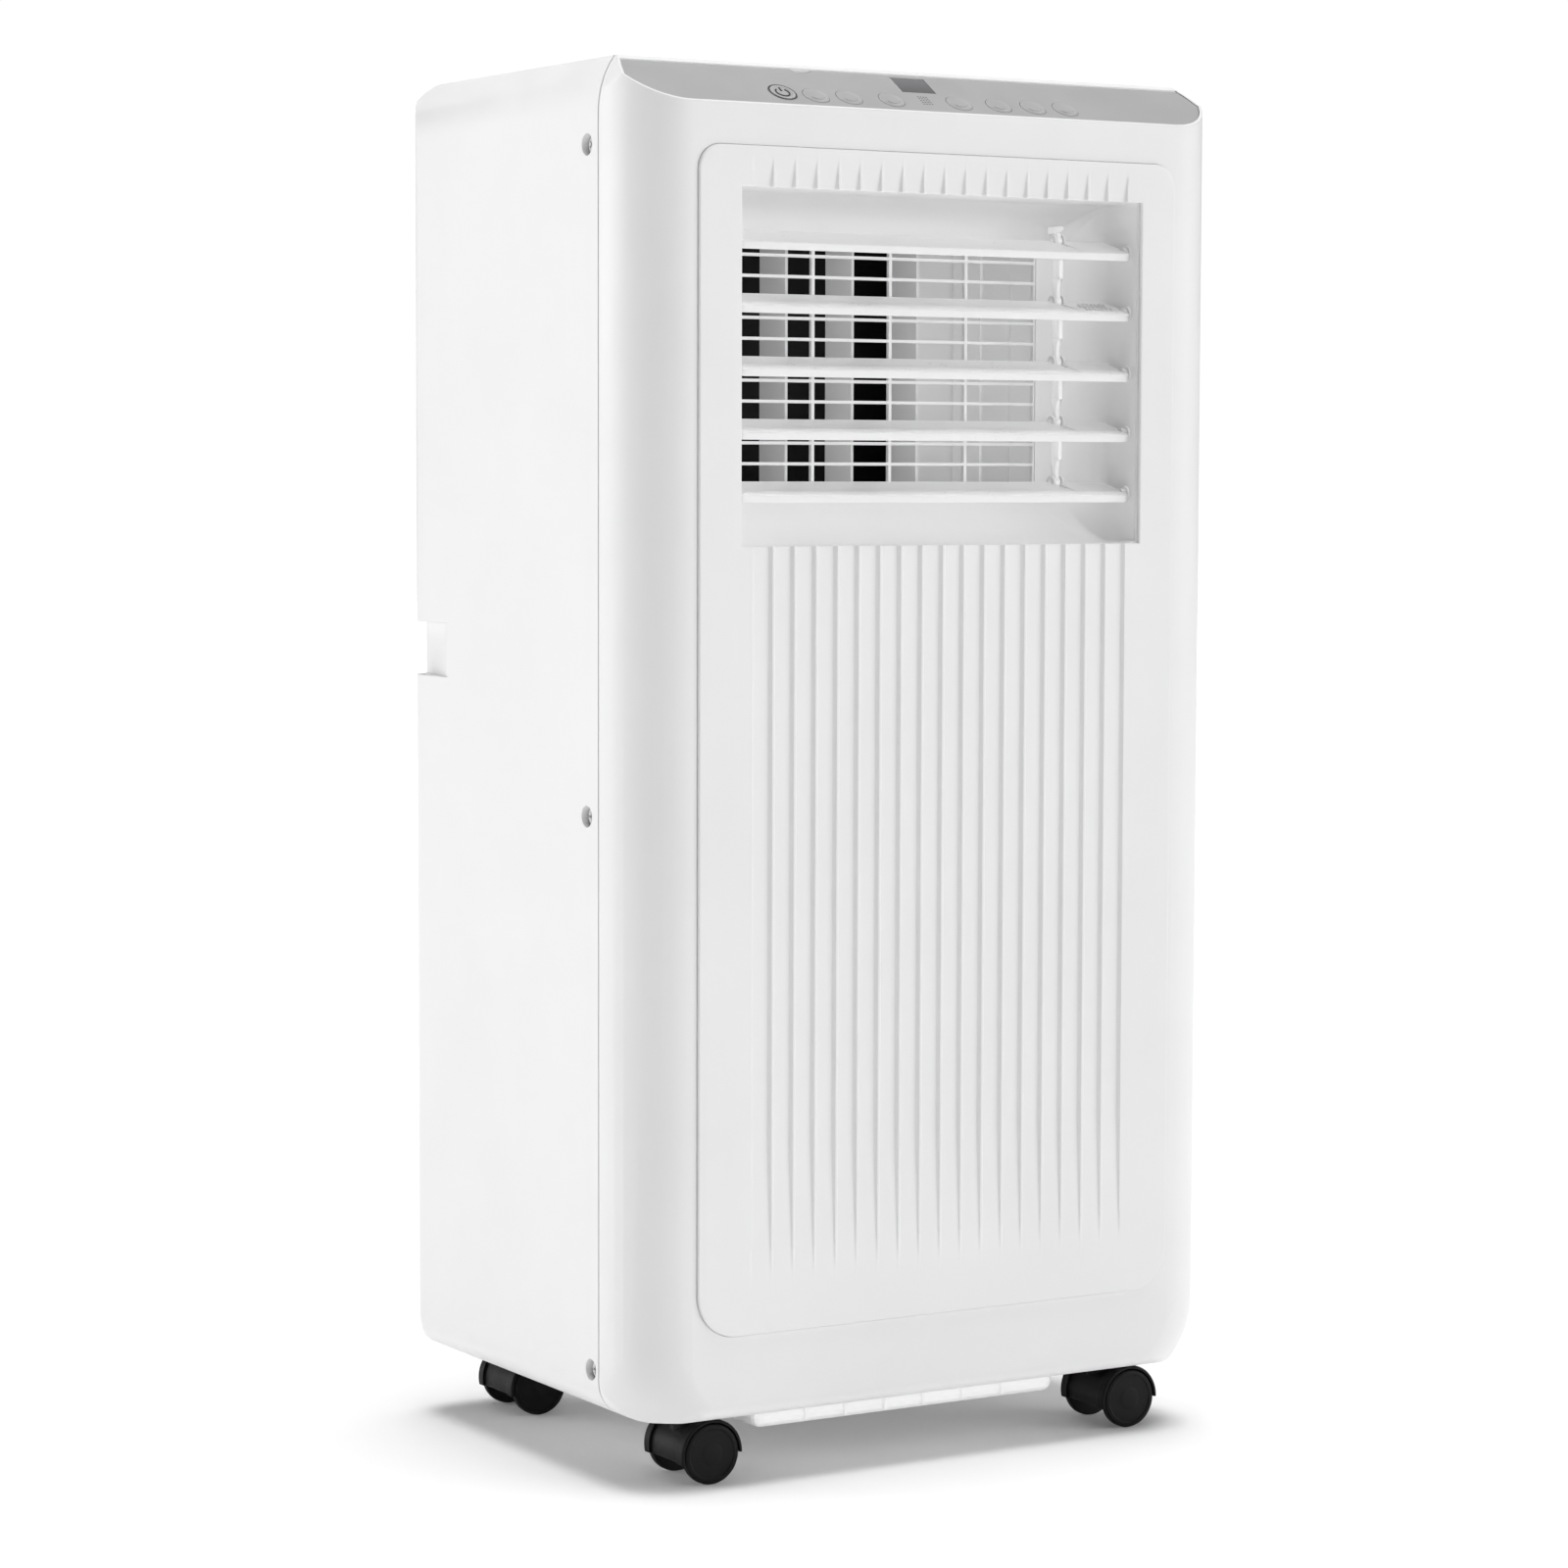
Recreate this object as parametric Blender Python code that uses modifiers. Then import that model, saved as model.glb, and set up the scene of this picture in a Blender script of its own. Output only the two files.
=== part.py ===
"""Portable air conditioner: a tall cabinet on four casters.

Metres, +Z up.  The front faces -Y and the origin is on the floor under the middle of the cabinet.
"""
import math

import bmesh
import bpy
from mathutils import Matrix, Vector

# ---------------------------------------------------------------- driving dimensions
WIDTH = 0.349
DEPTH = 0.2566                      # front face of the raised panel to the rims on the back
HEIGHT = 0.700
CABINET_BOTTOM = 0.035
WALL = 0.0024
GAP = 0.0003                        # clearance between neighbouring pieces

FRONT = -DEPTH / 2
PANEL_RAISE = 0.0015                # how far the front panel stands proud
COVER_FACE = FRONT + PANEL_RAISE
BACK_FACE = DEPTH / 2 - 0.0018
SEAM_Y = FRONT + 0.0385             # joint between the front cover and the rear shell
HALF = WIDTH / 2
BEYOND = 0.3                        # well outside the cabinet, for cutting tools

# rounding of the cabinet's edges
FRONT_CORNER_R = 0.034
REAR_CORNER_R = 0.020
TOP_SIDE_R = 0.040
TOP_OVERRUN = 0.012                 # the side rounding would run this far above the flat top
TOP_BACK_R = 0.030
BOTTOM_SIDE_R = 0.008
BOTTOM_BACK_R = 0.008
BOTTOM_FRONT_R = 0.008
FLARE_RISE = 0.036                  # height over which the upright corners open out towards the floor
FLARE_POWER = 2.4
FRONT_FLARE = 0.024                 # growth of the corner radii at the bottom
REAR_FLARE = 0.013

# sloping control panel
SLOPE_Z = 0.6768
SLOPE_RUN = 0.0355
SLOPE_ANGLE = math.atan2(HEIGHT - SLOPE_Z, SLOPE_RUN)
SLOPE_LENGTH = math.hypot(HEIGHT - SLOPE_Z, SLOPE_RUN)
FASCIA_RIM = 0.0018
FASCIA_SINK = 0.0005
FASCIA_THICK = 0.0020
FASCIA_BACK = COVER_FACE + SLOPE_RUN - 0.0030   # rear limit of the fascia and its seat

# raised front panel
PANEL_HALF = 0.1402
PANEL_TOP = 0.6568
PANEL_BOTTOM = 0.0768
PANEL_TOP_R = 0.012
PANEL_BOTTOM_R = 0.022

# louver opening and the bay behind it
OPENING_X = 0.0015                  # middle of the opening, a little right of centre
OPENING_HALF = 0.118
OPENING_TOP = 0.637
OPENING_BOTTOM = 0.464
OPENING_MID = (OPENING_TOP + OPENING_BOTTOM) / 2
BAY_WALL = 0.0022
BAY_BACK = FRONT + 0.0505           # front face of the bay's back wall
BAY_COVE_R = 0.023
GRILLE_HALF = 0.0885
GRILLE_TOP = 0.614
GRILLE_BOTTOM = 0.487

# horizontal louver vanes
VANE_COUNT = 5
VANE_PITCH = 0.0307
VANE_HALF = 0.116
VANE_CORNER_R = 0.0035
VANE_TILT = math.radians(17)        # front edge down at rest
VANE_AXIS_Y = FRONT + 0.0125
VANE_LIP = 0.007                    # axis to front edge
VANE_TAIL = 0.019                   # axis to rear edge
LINK_X = 0.0865
LINK_HALF = 0.0012                  # half the link's thickness
LINK_ARM = 0.0165                   # vane axis to link pin

# vertical deflector vanes behind the grille
DEFLECTOR_PITCH = 0.039
DEFLECTOR_SHIFT = 0.0010            # middle of the row, right of centre
DEFLECTOR_AXIS_Y = FRONT + 0.0695
DEFLECTOR_HALF_CHORD = 0.0125

# blowers
UPPER_BLOWER = Vector((0.0, 0.0, 0.415))
LOWER_BLOWER = Vector((0.072, 0.0, 0.132))
SHELL_INNER = HALF - WALL

# casters
CASTER_X = 0.1265
CASTER_Y = 0.0911
CASTER_TRAIL = 0.0045
WHEEL_R = 0.0153

# ---------------------------------------------------------------- scene and materials
for old in list(bpy.data.objects):
    bpy.data.objects.remove(old, do_unlink=True)

PARTS = bpy.data.collections.new("portable_air_conditioner")
CUTTERS = bpy.data.collections.new("cutters")
bpy.context.scene.collection.children.link(PARTS)
bpy.context.scene.collection.children.link(CUTTERS)


def material(name, colour, roughness, metallic=0.0):
    made = bpy.data.materials.new(name)
    made.use_nodes = True
    shader = made.node_tree.nodes["Principled BSDF"]
    shader.inputs["Base Color"].default_value = (*colour, 1.0)
    shader.inputs["Roughness"].default_value = roughness
    shader.inputs["Metallic"].default_value = metallic
    return made


WHITE = material("white_plastic", (0.86, 0.86, 0.86), 0.42)
GREY = material("grey_fascia", (0.46, 0.46, 0.46), 0.35)
WINDOW = material("smoked_window", (0.12, 0.12, 0.12), 0.15)
BLACK = material("black_plastic", (0.015, 0.015, 0.015), 0.45)
DARK = material("dark_fan_plastic", (0.03, 0.03, 0.03), 0.55)
BOARD = material("circuit_board", (0.03, 0.16, 0.07), 0.50)
ALUMINIUM = material("fin_aluminium", (0.72, 0.73, 0.74), 0.40, 0.9)
COPPER = material("copper_tube", (0.72, 0.36, 0.20), 0.30, 1.0)
STEEL = material("plated_steel", (0.60, 0.60, 0.60), 0.35, 0.9)
ENAMEL = material("black_enamel", (0.02, 0.02, 0.02), 0.30)
RUBBER = material("rubber", (0.05, 0.05, 0.05), 0.80)
FILTER = material("filter_mesh", (0.25, 0.27, 0.28), 0.85)


# ---------------------------------------------------------------- modelling helpers
def add_object(name, mesh):
    made = bpy.data.objects.new(name, mesh)
    PARTS.objects.link(made)
    return made


def from_bmesh(name, shape):
    mesh = bpy.data.meshes.new(name)
    shape.to_mesh(mesh)
    shape.free()
    return add_object(name, mesh)


def box(name, low, high):
    """Box between two corners."""
    low, high = Vector(low), Vector(high)
    shape = bmesh.new()
    bmesh.ops.create_cube(shape, size=1.0)
    bmesh.ops.scale(shape, vec=high - low, verts=shape.verts)
    bmesh.ops.translate(shape, vec=(low + high) / 2, verts=shape.verts)
    return from_bmesh(name, shape)


AXIS_TURN = {
    "X": Matrix.Rotation(math.pi / 2, 4, "Y"),
    "Y": Matrix.Rotation(-math.pi / 2, 4, "X"),
    "Z": Matrix.Identity(4),
}


def cylinder(name, axis, start, end, centre, radius, sides=20, end_radius=None):
    """Cylinder or cone along an axis, from start to end; centre holds the other two coordinates."""
    shape = bmesh.new()
    far_radius = radius if end_radius is None else end_radius
    bmesh.ops.create_cone(shape, cap_ends=True, segments=sides, radius1=radius, radius2=far_radius,
                          depth=end - start)
    bmesh.ops.transform(shape, matrix=AXIS_TURN[axis], verts=shape.verts)
    middle = (start + end) / 2
    place = {"X": (middle, centre[0], centre[1]), "Y": (centre[0], middle, centre[1]),
             "Z": (centre[0], centre[1], middle)}[axis]
    bmesh.ops.translate(shape, vec=place, verts=shape.verts)
    return from_bmesh(name, shape)


def extrusion(name, outline, thickness, place):
    """Flat outline in its own XY plane, extruded to +-thickness/2 along its Z and moved by a matrix."""
    curve = bpy.data.curves.new(name, "CURVE")
    curve.dimensions = "2D"
    curve.fill_mode = "BOTH"
    curve.extrude = thickness / 2
    spline = curve.splines.new("POLY")
    spline.points.add(len(outline) - 1)
    for point, (x, y) in zip(spline.points, outline):
        point.co = (x, y, 0, 1)
    spline.use_cyclic_u = True
    flat = bpy.data.objects.new(name, curve)
    PARTS.objects.link(flat)
    mesh = bpy.data.meshes.new_from_object(flat.evaluated_get(bpy.context.evaluated_depsgraph_get()))
    bpy.data.objects.remove(flat, do_unlink=True)
    shape = bmesh.new()
    shape.from_mesh(mesh)
    bmesh.ops.remove_doubles(shape, verts=shape.verts, dist=1e-6)
    bmesh.ops.transform(shape, matrix=place, verts=shape.verts)
    bmesh.ops.recalc_face_normals(shape, faces=shape.faces)
    bpy.data.meshes.remove(mesh)
    return from_bmesh(name, shape)


def side_profile(x_middle):
    """Matrix that stands an outline of (y, z) points up in the YZ plane at x_middle."""
    turn = Matrix(((0, 0, 1, 0), (1, 0, 0, 0), (0, 1, 0, 0), (0, 0, 0, 1)))
    return Matrix.Translation((x_middle, 0, 0)) @ turn


def front_profile(y_middle):
    """Matrix that stands an outline of (x, z) points up in the XZ plane at y_middle."""
    turn = Matrix(((1, 0, 0, 0), (0, 0, -1, 0), (0, 1, 0, 0), (0, 0, 0, 1)))
    return Matrix.Translation((0, y_middle, 0)) @ turn


def arc(centre, radius, start, end, steps):
    """Points on an arc, angles in degrees."""
    points = []
    for step in range(steps + 1):
        angle = math.radians(start + (end - start) * step / steps)
        points.append((centre[0] + radius * math.cos(angle), centre[1] + radius * math.sin(angle)))
    return points


def rounded_outline(left, right, low, high, low_radius, high_radius, steps=5):
    """Rectangle with its lower and upper corners rounded."""
    points = arc((left + low_radius, low + low_radius), low_radius, 180, 270, steps)
    points += arc((right - low_radius, low + low_radius), low_radius, 270, 360, steps)
    points += arc((right - high_radius, high - high_radius), high_radius, 0, 90, steps)
    points += arc((left + high_radius, high - high_radius), high_radius, 90, 180, steps)
    return points


def as_cutter(obj):
    PARTS.objects.unlink(obj)
    CUTTERS.objects.link(obj)
    obj.hide_render = True
    obj.display_type = "WIRE"


def combine(obj, others, operation):
    """Boolean with one object, or with a whole group at once."""
    if not isinstance(others, (list, tuple)):
        others = [others]
    change = obj.modifiers.new(operation.title(), "BOOLEAN")
    change.operation = operation
    change.solver = "EXACT"
    if len(others) == 1:
        as_cutter(others[0])
        change.object = others[0]
    else:
        group = bpy.data.collections.new(f"{obj.name}_group")
        CUTTERS.children.link(group)
        for other in others:
            PARTS.objects.unlink(other)
            group.objects.link(other)
            other.hide_render = True
            other.display_type = "WIRE"
        change.operand_type = "COLLECTION"
        change.collection = group
    return obj


def cut(obj, others):
    return combine(obj, others, "DIFFERENCE")


def join(obj, others):
    return combine(obj, others, "UNION")


def keep(obj, other):
    return combine(obj, other, "INTERSECT")


def finish(obj, look, smooth_angle=35):
    """Give a part its material and smooth its round faces."""
    obj.data.materials.clear()
    obj.data.materials.append(look)
    obj.data.shade_smooth()
    obj.data.set_sharp_from_angle(angle=math.radians(smooth_angle))
    return obj


def set_origin(obj, point):
    """Move the object's origin to a world point without moving its mesh."""
    offset = Vector(point)
    obj.data.transform(Matrix.Translation(-offset))
    obj.location = offset
    return obj


# ---------------------------------------------------------------- cabinet
def flared_block(name, inset, steps):
    """Tall block that only trims the cabinet's upright corners, more and more towards the floor."""
    clear = 0.0002 - inset
    levels = [(HEIGHT + 2 * TOP_OVERRUN, -0.1)]
    levels += [(CABINET_BOTTOM + FLARE_RISE * (1 - step / steps), (step / steps) ** FLARE_POWER)
               for step in range(steps + 1)]
    levels.append((0.0, 1.0))
    shape = bmesh.new()
    rings = []
    for z, growth in levels:
        outline = rounded_outline(-HALF - clear, HALF + clear, COVER_FACE - clear, BACK_FACE + clear,
                                  FRONT_CORNER_R - inset + growth * FRONT_FLARE,
                                  REAR_CORNER_R - inset + growth * REAR_FLARE, steps)
        rings.append([shape.verts.new((x, y, z)) for x, y in outline])
    for upper, lower in zip(rings, rings[1:]):
        for index in range(len(upper)):
            after = (index + 1) % len(upper)
            shape.faces.new([upper[index], upper[after], lower[after], lower[index]])
    shape.faces.new(rings[0])
    shape.faces.new(rings[-1][::-1])
    bmesh.ops.recalc_face_normals(shape, faces=shape.faces)
    return from_bmesh(name, shape)


def cabinet(name, inset, steps=4):
    """Rounded cabinet block, shrunk all round by inset."""
    low = Vector((-HALF + inset, COVER_FACE + inset, CABINET_BOTTOM + inset))
    high = Vector((HALF - inset, BACK_FACE - inset, HEIGHT + TOP_OVERRUN - inset))
    block = box(name, low, high)
    radius_of = {
        ("front", "side"): FRONT_CORNER_R, ("back", "side"): REAR_CORNER_R,
        ("side", "top"): TOP_SIDE_R, ("back", "top"): 0.0, ("front", "top"): 0.0,
        ("bottom", "side"): BOTTOM_SIDE_R, ("back", "bottom"): BOTTOM_BACK_R,
        ("bottom", "front"): BOTTOM_FRONT_R,
    }
    largest = max(radius_of.values()) - inset
    shape = bmesh.new()
    shape.from_mesh(block.data)
    weight = shape.edges.layers.float.new("bevel_weight_edge")
    for edge in shape.edges:
        middle = (edge.verts[0].co + edge.verts[1].co) / 2
        faces = []
        if abs(abs(middle.x) - high.x) < 1e-6:
            faces.append("side")
        if abs(middle.y - low.y) < 1e-6:
            faces.append("front")
        if abs(middle.y - high.y) < 1e-6:
            faces.append("back")
        if abs(middle.z - low.z) < 1e-6:
            faces.append("bottom")
        if abs(middle.z - high.z) < 1e-6:
            faces.append("top")
        edge[weight] = max(radius_of[tuple(sorted(faces))] - inset, 0.0) / largest
    shape.to_mesh(block.data)
    shape.free()
    rounding = block.modifiers.new("Rounding", "BEVEL")
    rounding.limit_method = "WEIGHT"
    rounding.width = largest
    rounding.segments = steps
    rounding.use_clamp_overlap = False
    # flat top that rolls over into the back
    roll = arc((BACK_FACE - TOP_BACK_R, HEIGHT - TOP_BACK_R), TOP_BACK_R - inset, 90, 0, steps)
    limit = [(-BEYOND, 0.0), (-BEYOND, HEIGHT - inset)] + roll + [(BEYOND, HEIGHT - TOP_BACK_R), (BEYOND, 0.0)]
    keep(block, extrusion(f"{name}_limit", limit, 2 * BEYOND, side_profile(0.0)))
    return keep(block, flared_block(f"{name}_corners", inset, steps))


SLOPE = Matrix.Translation((0, COVER_FACE, SLOPE_Z)) @ Matrix.Rotation(SLOPE_ANGLE, 4, "X")


def slope_slab(name, low, high, half_width=0.20, overrun=0.05):
    """Slab parallel to the control panel, between two heights above its surface."""
    slab = box(name, (-half_width, -overrun, low), (half_width, SLOPE_LENGTH + overrun, high))
    slab.data.transform(SLOPE)
    return slab


SCREW_PLACES = {"top": (SEAM_Y + 0.0115, 0.6576), "middle": (SEAM_Y + 0.0122, 0.3314),
                "bottom": (SEAM_Y + 0.0083, 0.0580)}
SCREW_BOSS_R = 0.0070
SCREW_WELL_R = 0.0053
SCREW_WELL_DEPTH = 0.0056
SCREW_HEAD_R = 0.0043
SCREW_SHANK_R = 0.0016


def along_side(name, side, near, far, centre, radius, sides=16):
    """Cylinder along X on one side (-1 or 1) of the cabinet; near and far are measured from it."""
    outer, inner = side * (HALF - near), side * (HALF - far)
    return cylinder(name, "X", min(outer, inner), max(outer, inner), centre, radius, sides)


def make_front_cover():
    cover = cabinet("front_cover", 0.0)
    cut(cover, slope_slab("slope_cut", 0.0, 0.05))
    # seat of the fascia
    seat = cabinet("fascia_seat", FASCIA_RIM - GAP)
    keep(seat, slope_slab("seat_slab", -FASCIA_SINK - FASCIA_THICK - GAP, 0.004))
    cut(seat, box("seat_back", (-1, FASCIA_BACK + GAP, 0), (1, 1, 1)))
    cut(cover, seat)
    cavity = cabinet("front_cavity", WALL)
    cut(cavity, slope_slab("slope_floor", -0.0052, 0.05))
    cut(cover, cavity)
    cut(cover, box("behind_seam", (-1, SEAM_Y, -1), (1, 1, 2)))
    # raised panel
    outline = rounded_outline(-PANEL_HALF, PANEL_HALF, PANEL_BOTTOM, PANEL_TOP,
                              PANEL_BOTTOM_R, PANEL_TOP_R)
    thickness = PANEL_RAISE + WALL / 2
    join(cover, extrusion("raised_panel", outline, thickness, front_profile(FRONT + thickness / 2)))
    cut(cover, box("louver_hole", (OPENING_X - OPENING_HALF, FRONT - 0.01, OPENING_BOTTOM),
                   (OPENING_X + OPENING_HALF, FRONT + 0.02, OPENING_TOP)))
    # clearance hole under the buttons
    hole = box("button_hole", (-0.128, 0.0040, -0.02), (0.128, 0.0375, 0.0))
    hole.data.transform(SLOPE)
    cut(cover, hole)
    # bottom opening for the base pan
    cut(cover, box("pan_hole", (-PAN_STEP_X - GAP, PAN_STEP_FRONT - GAP, -1),
                   (PAN_STEP_X + GAP, 1, CABINET_BOTTOM + 0.01)))
    return finish(cover, WHITE)


PAN_STEP_X = 0.142
PAN_STEP_FRONT = FRONT + 0.0115
PAN_STEP_BACK = 0.1015
GRIP_LOW, GRIP_HIGH = 0.3932, 0.4212
GRIP_FRONT = 0.0740
GRIP_DEPTH = 0.013
INTAKE_HALF = 0.126
INTAKE_LOW, INTAKE_HIGH = 0.378, 0.660
LOWER_INTAKE_LOW, LOWER_INTAKE_HIGH = 0.070, 0.196
EXHAUST = Vector((0.0, 0.0, 0.268))
EXHAUST_R = 0.062
UPPER_DRAIN = (0.118, 0.352)
LOWER_DRAIN = (0.142, 0.077)
CORD_GLAND = (-0.118, 0.225)


def make_rear_shell():
    shell = cabinet("rear_shell", 0.0)
    cut(shell, cabinet("rear_cavity", WALL))
    cut(shell, box("before_seam", (-1, -1, -1), (1, SEAM_Y + GAP, 2)))
    # wells for the cover screws and pockets for the hand grips
    bosses, holes = [], []
    for side in (-1, 1):
        for centre in SCREW_PLACES.values():
            bosses.append(along_side("boss", side, WALL / 2, 0.0100, centre, SCREW_BOSS_R, 14))
            holes.append(along_side("well", side, -0.005, SCREW_WELL_DEPTH, centre, SCREW_WELL_R, 14))
            holes.append(along_side("pilot", side, 0.0, 0.0130, centre, SCREW_SHANK_R + GAP, 8))
        xs = sorted((side * (HALF - GRIP_DEPTH - WALL), side * (HALF - WALL / 2)))
        bosses.append(box("pocket", (xs[0], GRIP_FRONT - WALL, GRIP_LOW - WALL),
                          (xs[1], BACK_FACE - WALL / 2, GRIP_HIGH + WALL)))
        xs = sorted((side * (HALF - GRIP_DEPTH), side * (HALF + 0.01)))
        holes.append(box("grip", (xs[0], GRIP_FRONT, GRIP_LOW), (xs[1], BACK_FACE + 0.01, GRIP_HIGH)))
    outer = cabinet("boss_limit", WALL / 2)
    lugs = bosses[0]
    join(lugs, bosses[1:])
    keep(lugs, outer)
    join(shell, lugs)
    # openings in the back and the bottom
    holes.append(box("intake", (-INTAKE_HALF, 0.05, INTAKE_LOW), (INTAKE_HALF, 0.2, INTAKE_HIGH)))
    holes.append(box("lower_intake", (-INTAKE_HALF, 0.05, LOWER_INTAKE_LOW),
                     (INTAKE_HALF, 0.2, LOWER_INTAKE_HIGH)))
    holes.append(cylinder("exhaust", "Y", 0.05, 0.2, (EXHAUST.x, EXHAUST.z), EXHAUST_R + 0.0025, 28))
    for centre in (UPPER_DRAIN, LOWER_DRAIN, CORD_GLAND):
        holes.append(cylinder("port", "Y", 0.05, 0.2, centre, 0.0056, 12))
    holes.append(box("pan_hole", (-PAN_STEP_X - GAP, -1, -1),
                     (PAN_STEP_X + GAP, PAN_STEP_BACK + GAP, CABINET_BOTTOM + 0.012)))
    cut(shell, holes)
    return finish(shell, WHITE)


def make_base_pan():
    """Floor of the cabinet: a step that fills the bottom opening, a flange, walls and a front sump."""
    step = box("base_pan", (-PAN_STEP_X, PAN_STEP_FRONT, CABINET_BOTTOM),
               (PAN_STEP_X, PAN_STEP_BACK, CABINET_BOTTOM + 0.005))
    flange_low = CABINET_BOTTOM + WALL + GAP
    tray = box("pan_tray", (-0.149, PAN_STEP_FRONT - 0.002, flange_low), (0.149, 0.0958, 0.060))
    keep(tray, flared_block("pan_corners", WALL + 2 * GAP, 4))
    cut(tray, box("pan_hollow", (-0.1466, PAN_STEP_FRONT + 0.0004, flange_low + 0.0035),
                  (0.1466, 0.0934, 0.1)))
    sump = box("sump", (-0.098, FRONT + 0.0165, 0.0250), (0.082, 0.045, CABINET_BOTTOM + 0.0015))
    taper = sump.modifiers.new("Taper", "BEVEL")
    taper.width = 0.0050
    taper.segments = 3
    bosses, holes = [], []
    for x in (-CASTER_X, CASTER_X):
        for y in (-CASTER_Y, CASTER_Y):
            bosses.append(cylinder("socket", "Z", CABINET_BOTTOM + 0.001, 0.054, (x, y), 0.0085, 12))
            holes.append(cylinder("stem_hole", "Z", 0.02, 0.0500, (x, y), 0.0043, 12))
    join(step, [tray, sump] + bosses)
    cut(step, holes)
    return finish(step, WHITE)


def make_cover_screws():
    for side, hand in ((-1, "left"), (1, "right")):
        for level, centre in SCREW_PLACES.items():
            head = along_side(f"cover_screw_{hand}_{level}", side, 0.0026, 0.0052, centre,
                              SCREW_HEAD_R, 14)
            join(head, along_side("shank", side, 0.0050, 0.0150, centre, SCREW_SHANK_R, 8))
            finish(head, STEEL)


# ---------------------------------------------------------------- control panel
POWER_X = -0.0862
BUTTON_X = (-0.0679, -0.0488, -0.0241, 0.0157, 0.0394, 0.0601, 0.0798)
POWER_S, BUTTON_S = 0.0139, 0.0124
POWER_R, BUTTON_R = 0.0075, 0.0070
BUTTON_TRAVEL = 0.0006
DISPLAY_X, DISPLAY_S = -0.0030, 0.0289
DISPLAY_WIDTH, DISPLAY_HEIGHT = 0.0200, 0.0145
BOARD_TOP = -0.0062
INFRARED_X = -0.0040


def on_slope(obj):
    obj.data.transform(SLOPE)
    return obj


def make_fascia():
    """Grey panel let into the sloping top of the front cover."""
    fascia = cabinet("control_fascia", FASCIA_RIM)
    top = -FASCIA_SINK
    keep(fascia, slope_slab("fascia_slab", top - FASCIA_THICK, top))
    cut(fascia, box("fascia_back", (-1, FASCIA_BACK, 0), (1, 1, 1)))
    holes = [on_slope(cylinder("power_hole", "Z", -0.01, 0.01, (POWER_X, POWER_S), POWER_R + GAP, 16))]
    for x in BUTTON_X:
        holes.append(on_slope(cylinder("button_hole", "Z", -0.01, 0.01, (x, BUTTON_S),
                                       BUTTON_R + GAP, 16)))
    holes.append(on_slope(box("display_hole",
                              (DISPLAY_X - DISPLAY_WIDTH / 2 - GAP, DISPLAY_S - DISPLAY_HEIGHT / 2 - GAP,
                               -0.01),
                              (DISPLAY_X + DISPLAY_WIDTH / 2 + GAP, DISPLAY_S + DISPLAY_HEIGHT / 2 + GAP,
                               0.01))))
    cut(fascia, holes)
    return finish(fascia, GREY)


def make_button(name, x, s, radius):
    """Cap in the fascia, a retaining flange under it and a plunger over the board's switch."""
    under = -FASCIA_SINK - FASCIA_THICK - GAP
    cap = cylinder(name, "Z", under - 0.0008, -FASCIA_SINK + 0.0003, (x, s), radius, 16)
    flange = cylinder("flange", "Z", under - 0.0008, under, (x, s), radius + 0.0009, 16)
    plunger = cylinder("plunger", "Z", BOARD_TOP + BUTTON_TRAVEL + 0.0002, under - 0.0004, (x, s),
                       0.0022, 8)
    join(cap, [flange, plunger])
    for piece in (cap, flange, plunger):
        on_slope(piece)
    set_origin(cap, SLOPE @ Vector((x, s, -FASCIA_SINK)))
    return finish(cap, GREY)


def make_display():
    window = box("display_window",
                 (DISPLAY_X - DISPLAY_WIDTH / 2, DISPLAY_S - DISPLAY_HEIGHT / 2, BOARD_TOP + 0.0004),
                 (DISPLAY_X + DISPLAY_WIDTH / 2, DISPLAY_S + DISPLAY_HEIGHT / 2, -FASCIA_SINK - 0.0001))
    return finish(on_slope(window), WINDOW)


def make_control_board():
    board = box("control_board", (-0.120, 0.0070, BOARD_TOP - 0.0016), (0.120, 0.0360, BOARD_TOP))
    blocks = [box("terminal_block", (-0.110, 0.012, BOARD_TOP - 0.010), (-0.070, 0.030, BOARD_TOP - 0.001)),
              box("relay", (0.030, 0.012, BOARD_TOP - 0.012), (0.060, 0.030, BOARD_TOP - 0.001))]
    for piece in [board] + blocks:
        on_slope(piece)
    join(board, blocks)
    return finish(board, BOARD)


# ---------------------------------------------------------------- louver bay
def coved_box(name, half, low, high, front, back, cove):
    """Box whose rear edges are rounded, as the inside or outside of the louver bay."""
    tunnel = box(name, (OPENING_X - half, front, low), (OPENING_X + half, back, high))
    shape = bmesh.new()
    shape.from_mesh(tunnel.data)
    weight = shape.edges.layers.float.new("bevel_weight_edge")
    for edge in shape.edges:
        edge[weight] = float(all(abs(vert.co.y - back) < 1e-6 for vert in edge.verts))
    shape.to_mesh(tunnel.data)
    shape.free()
    rounding = tunnel.modifiers.new("Cove", "BEVEL")
    rounding.limit_method = "WEIGHT"
    rounding.width = cove
    rounding.segments = 5
    rounding.use_clamp_overlap = False
    return tunnel


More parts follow.
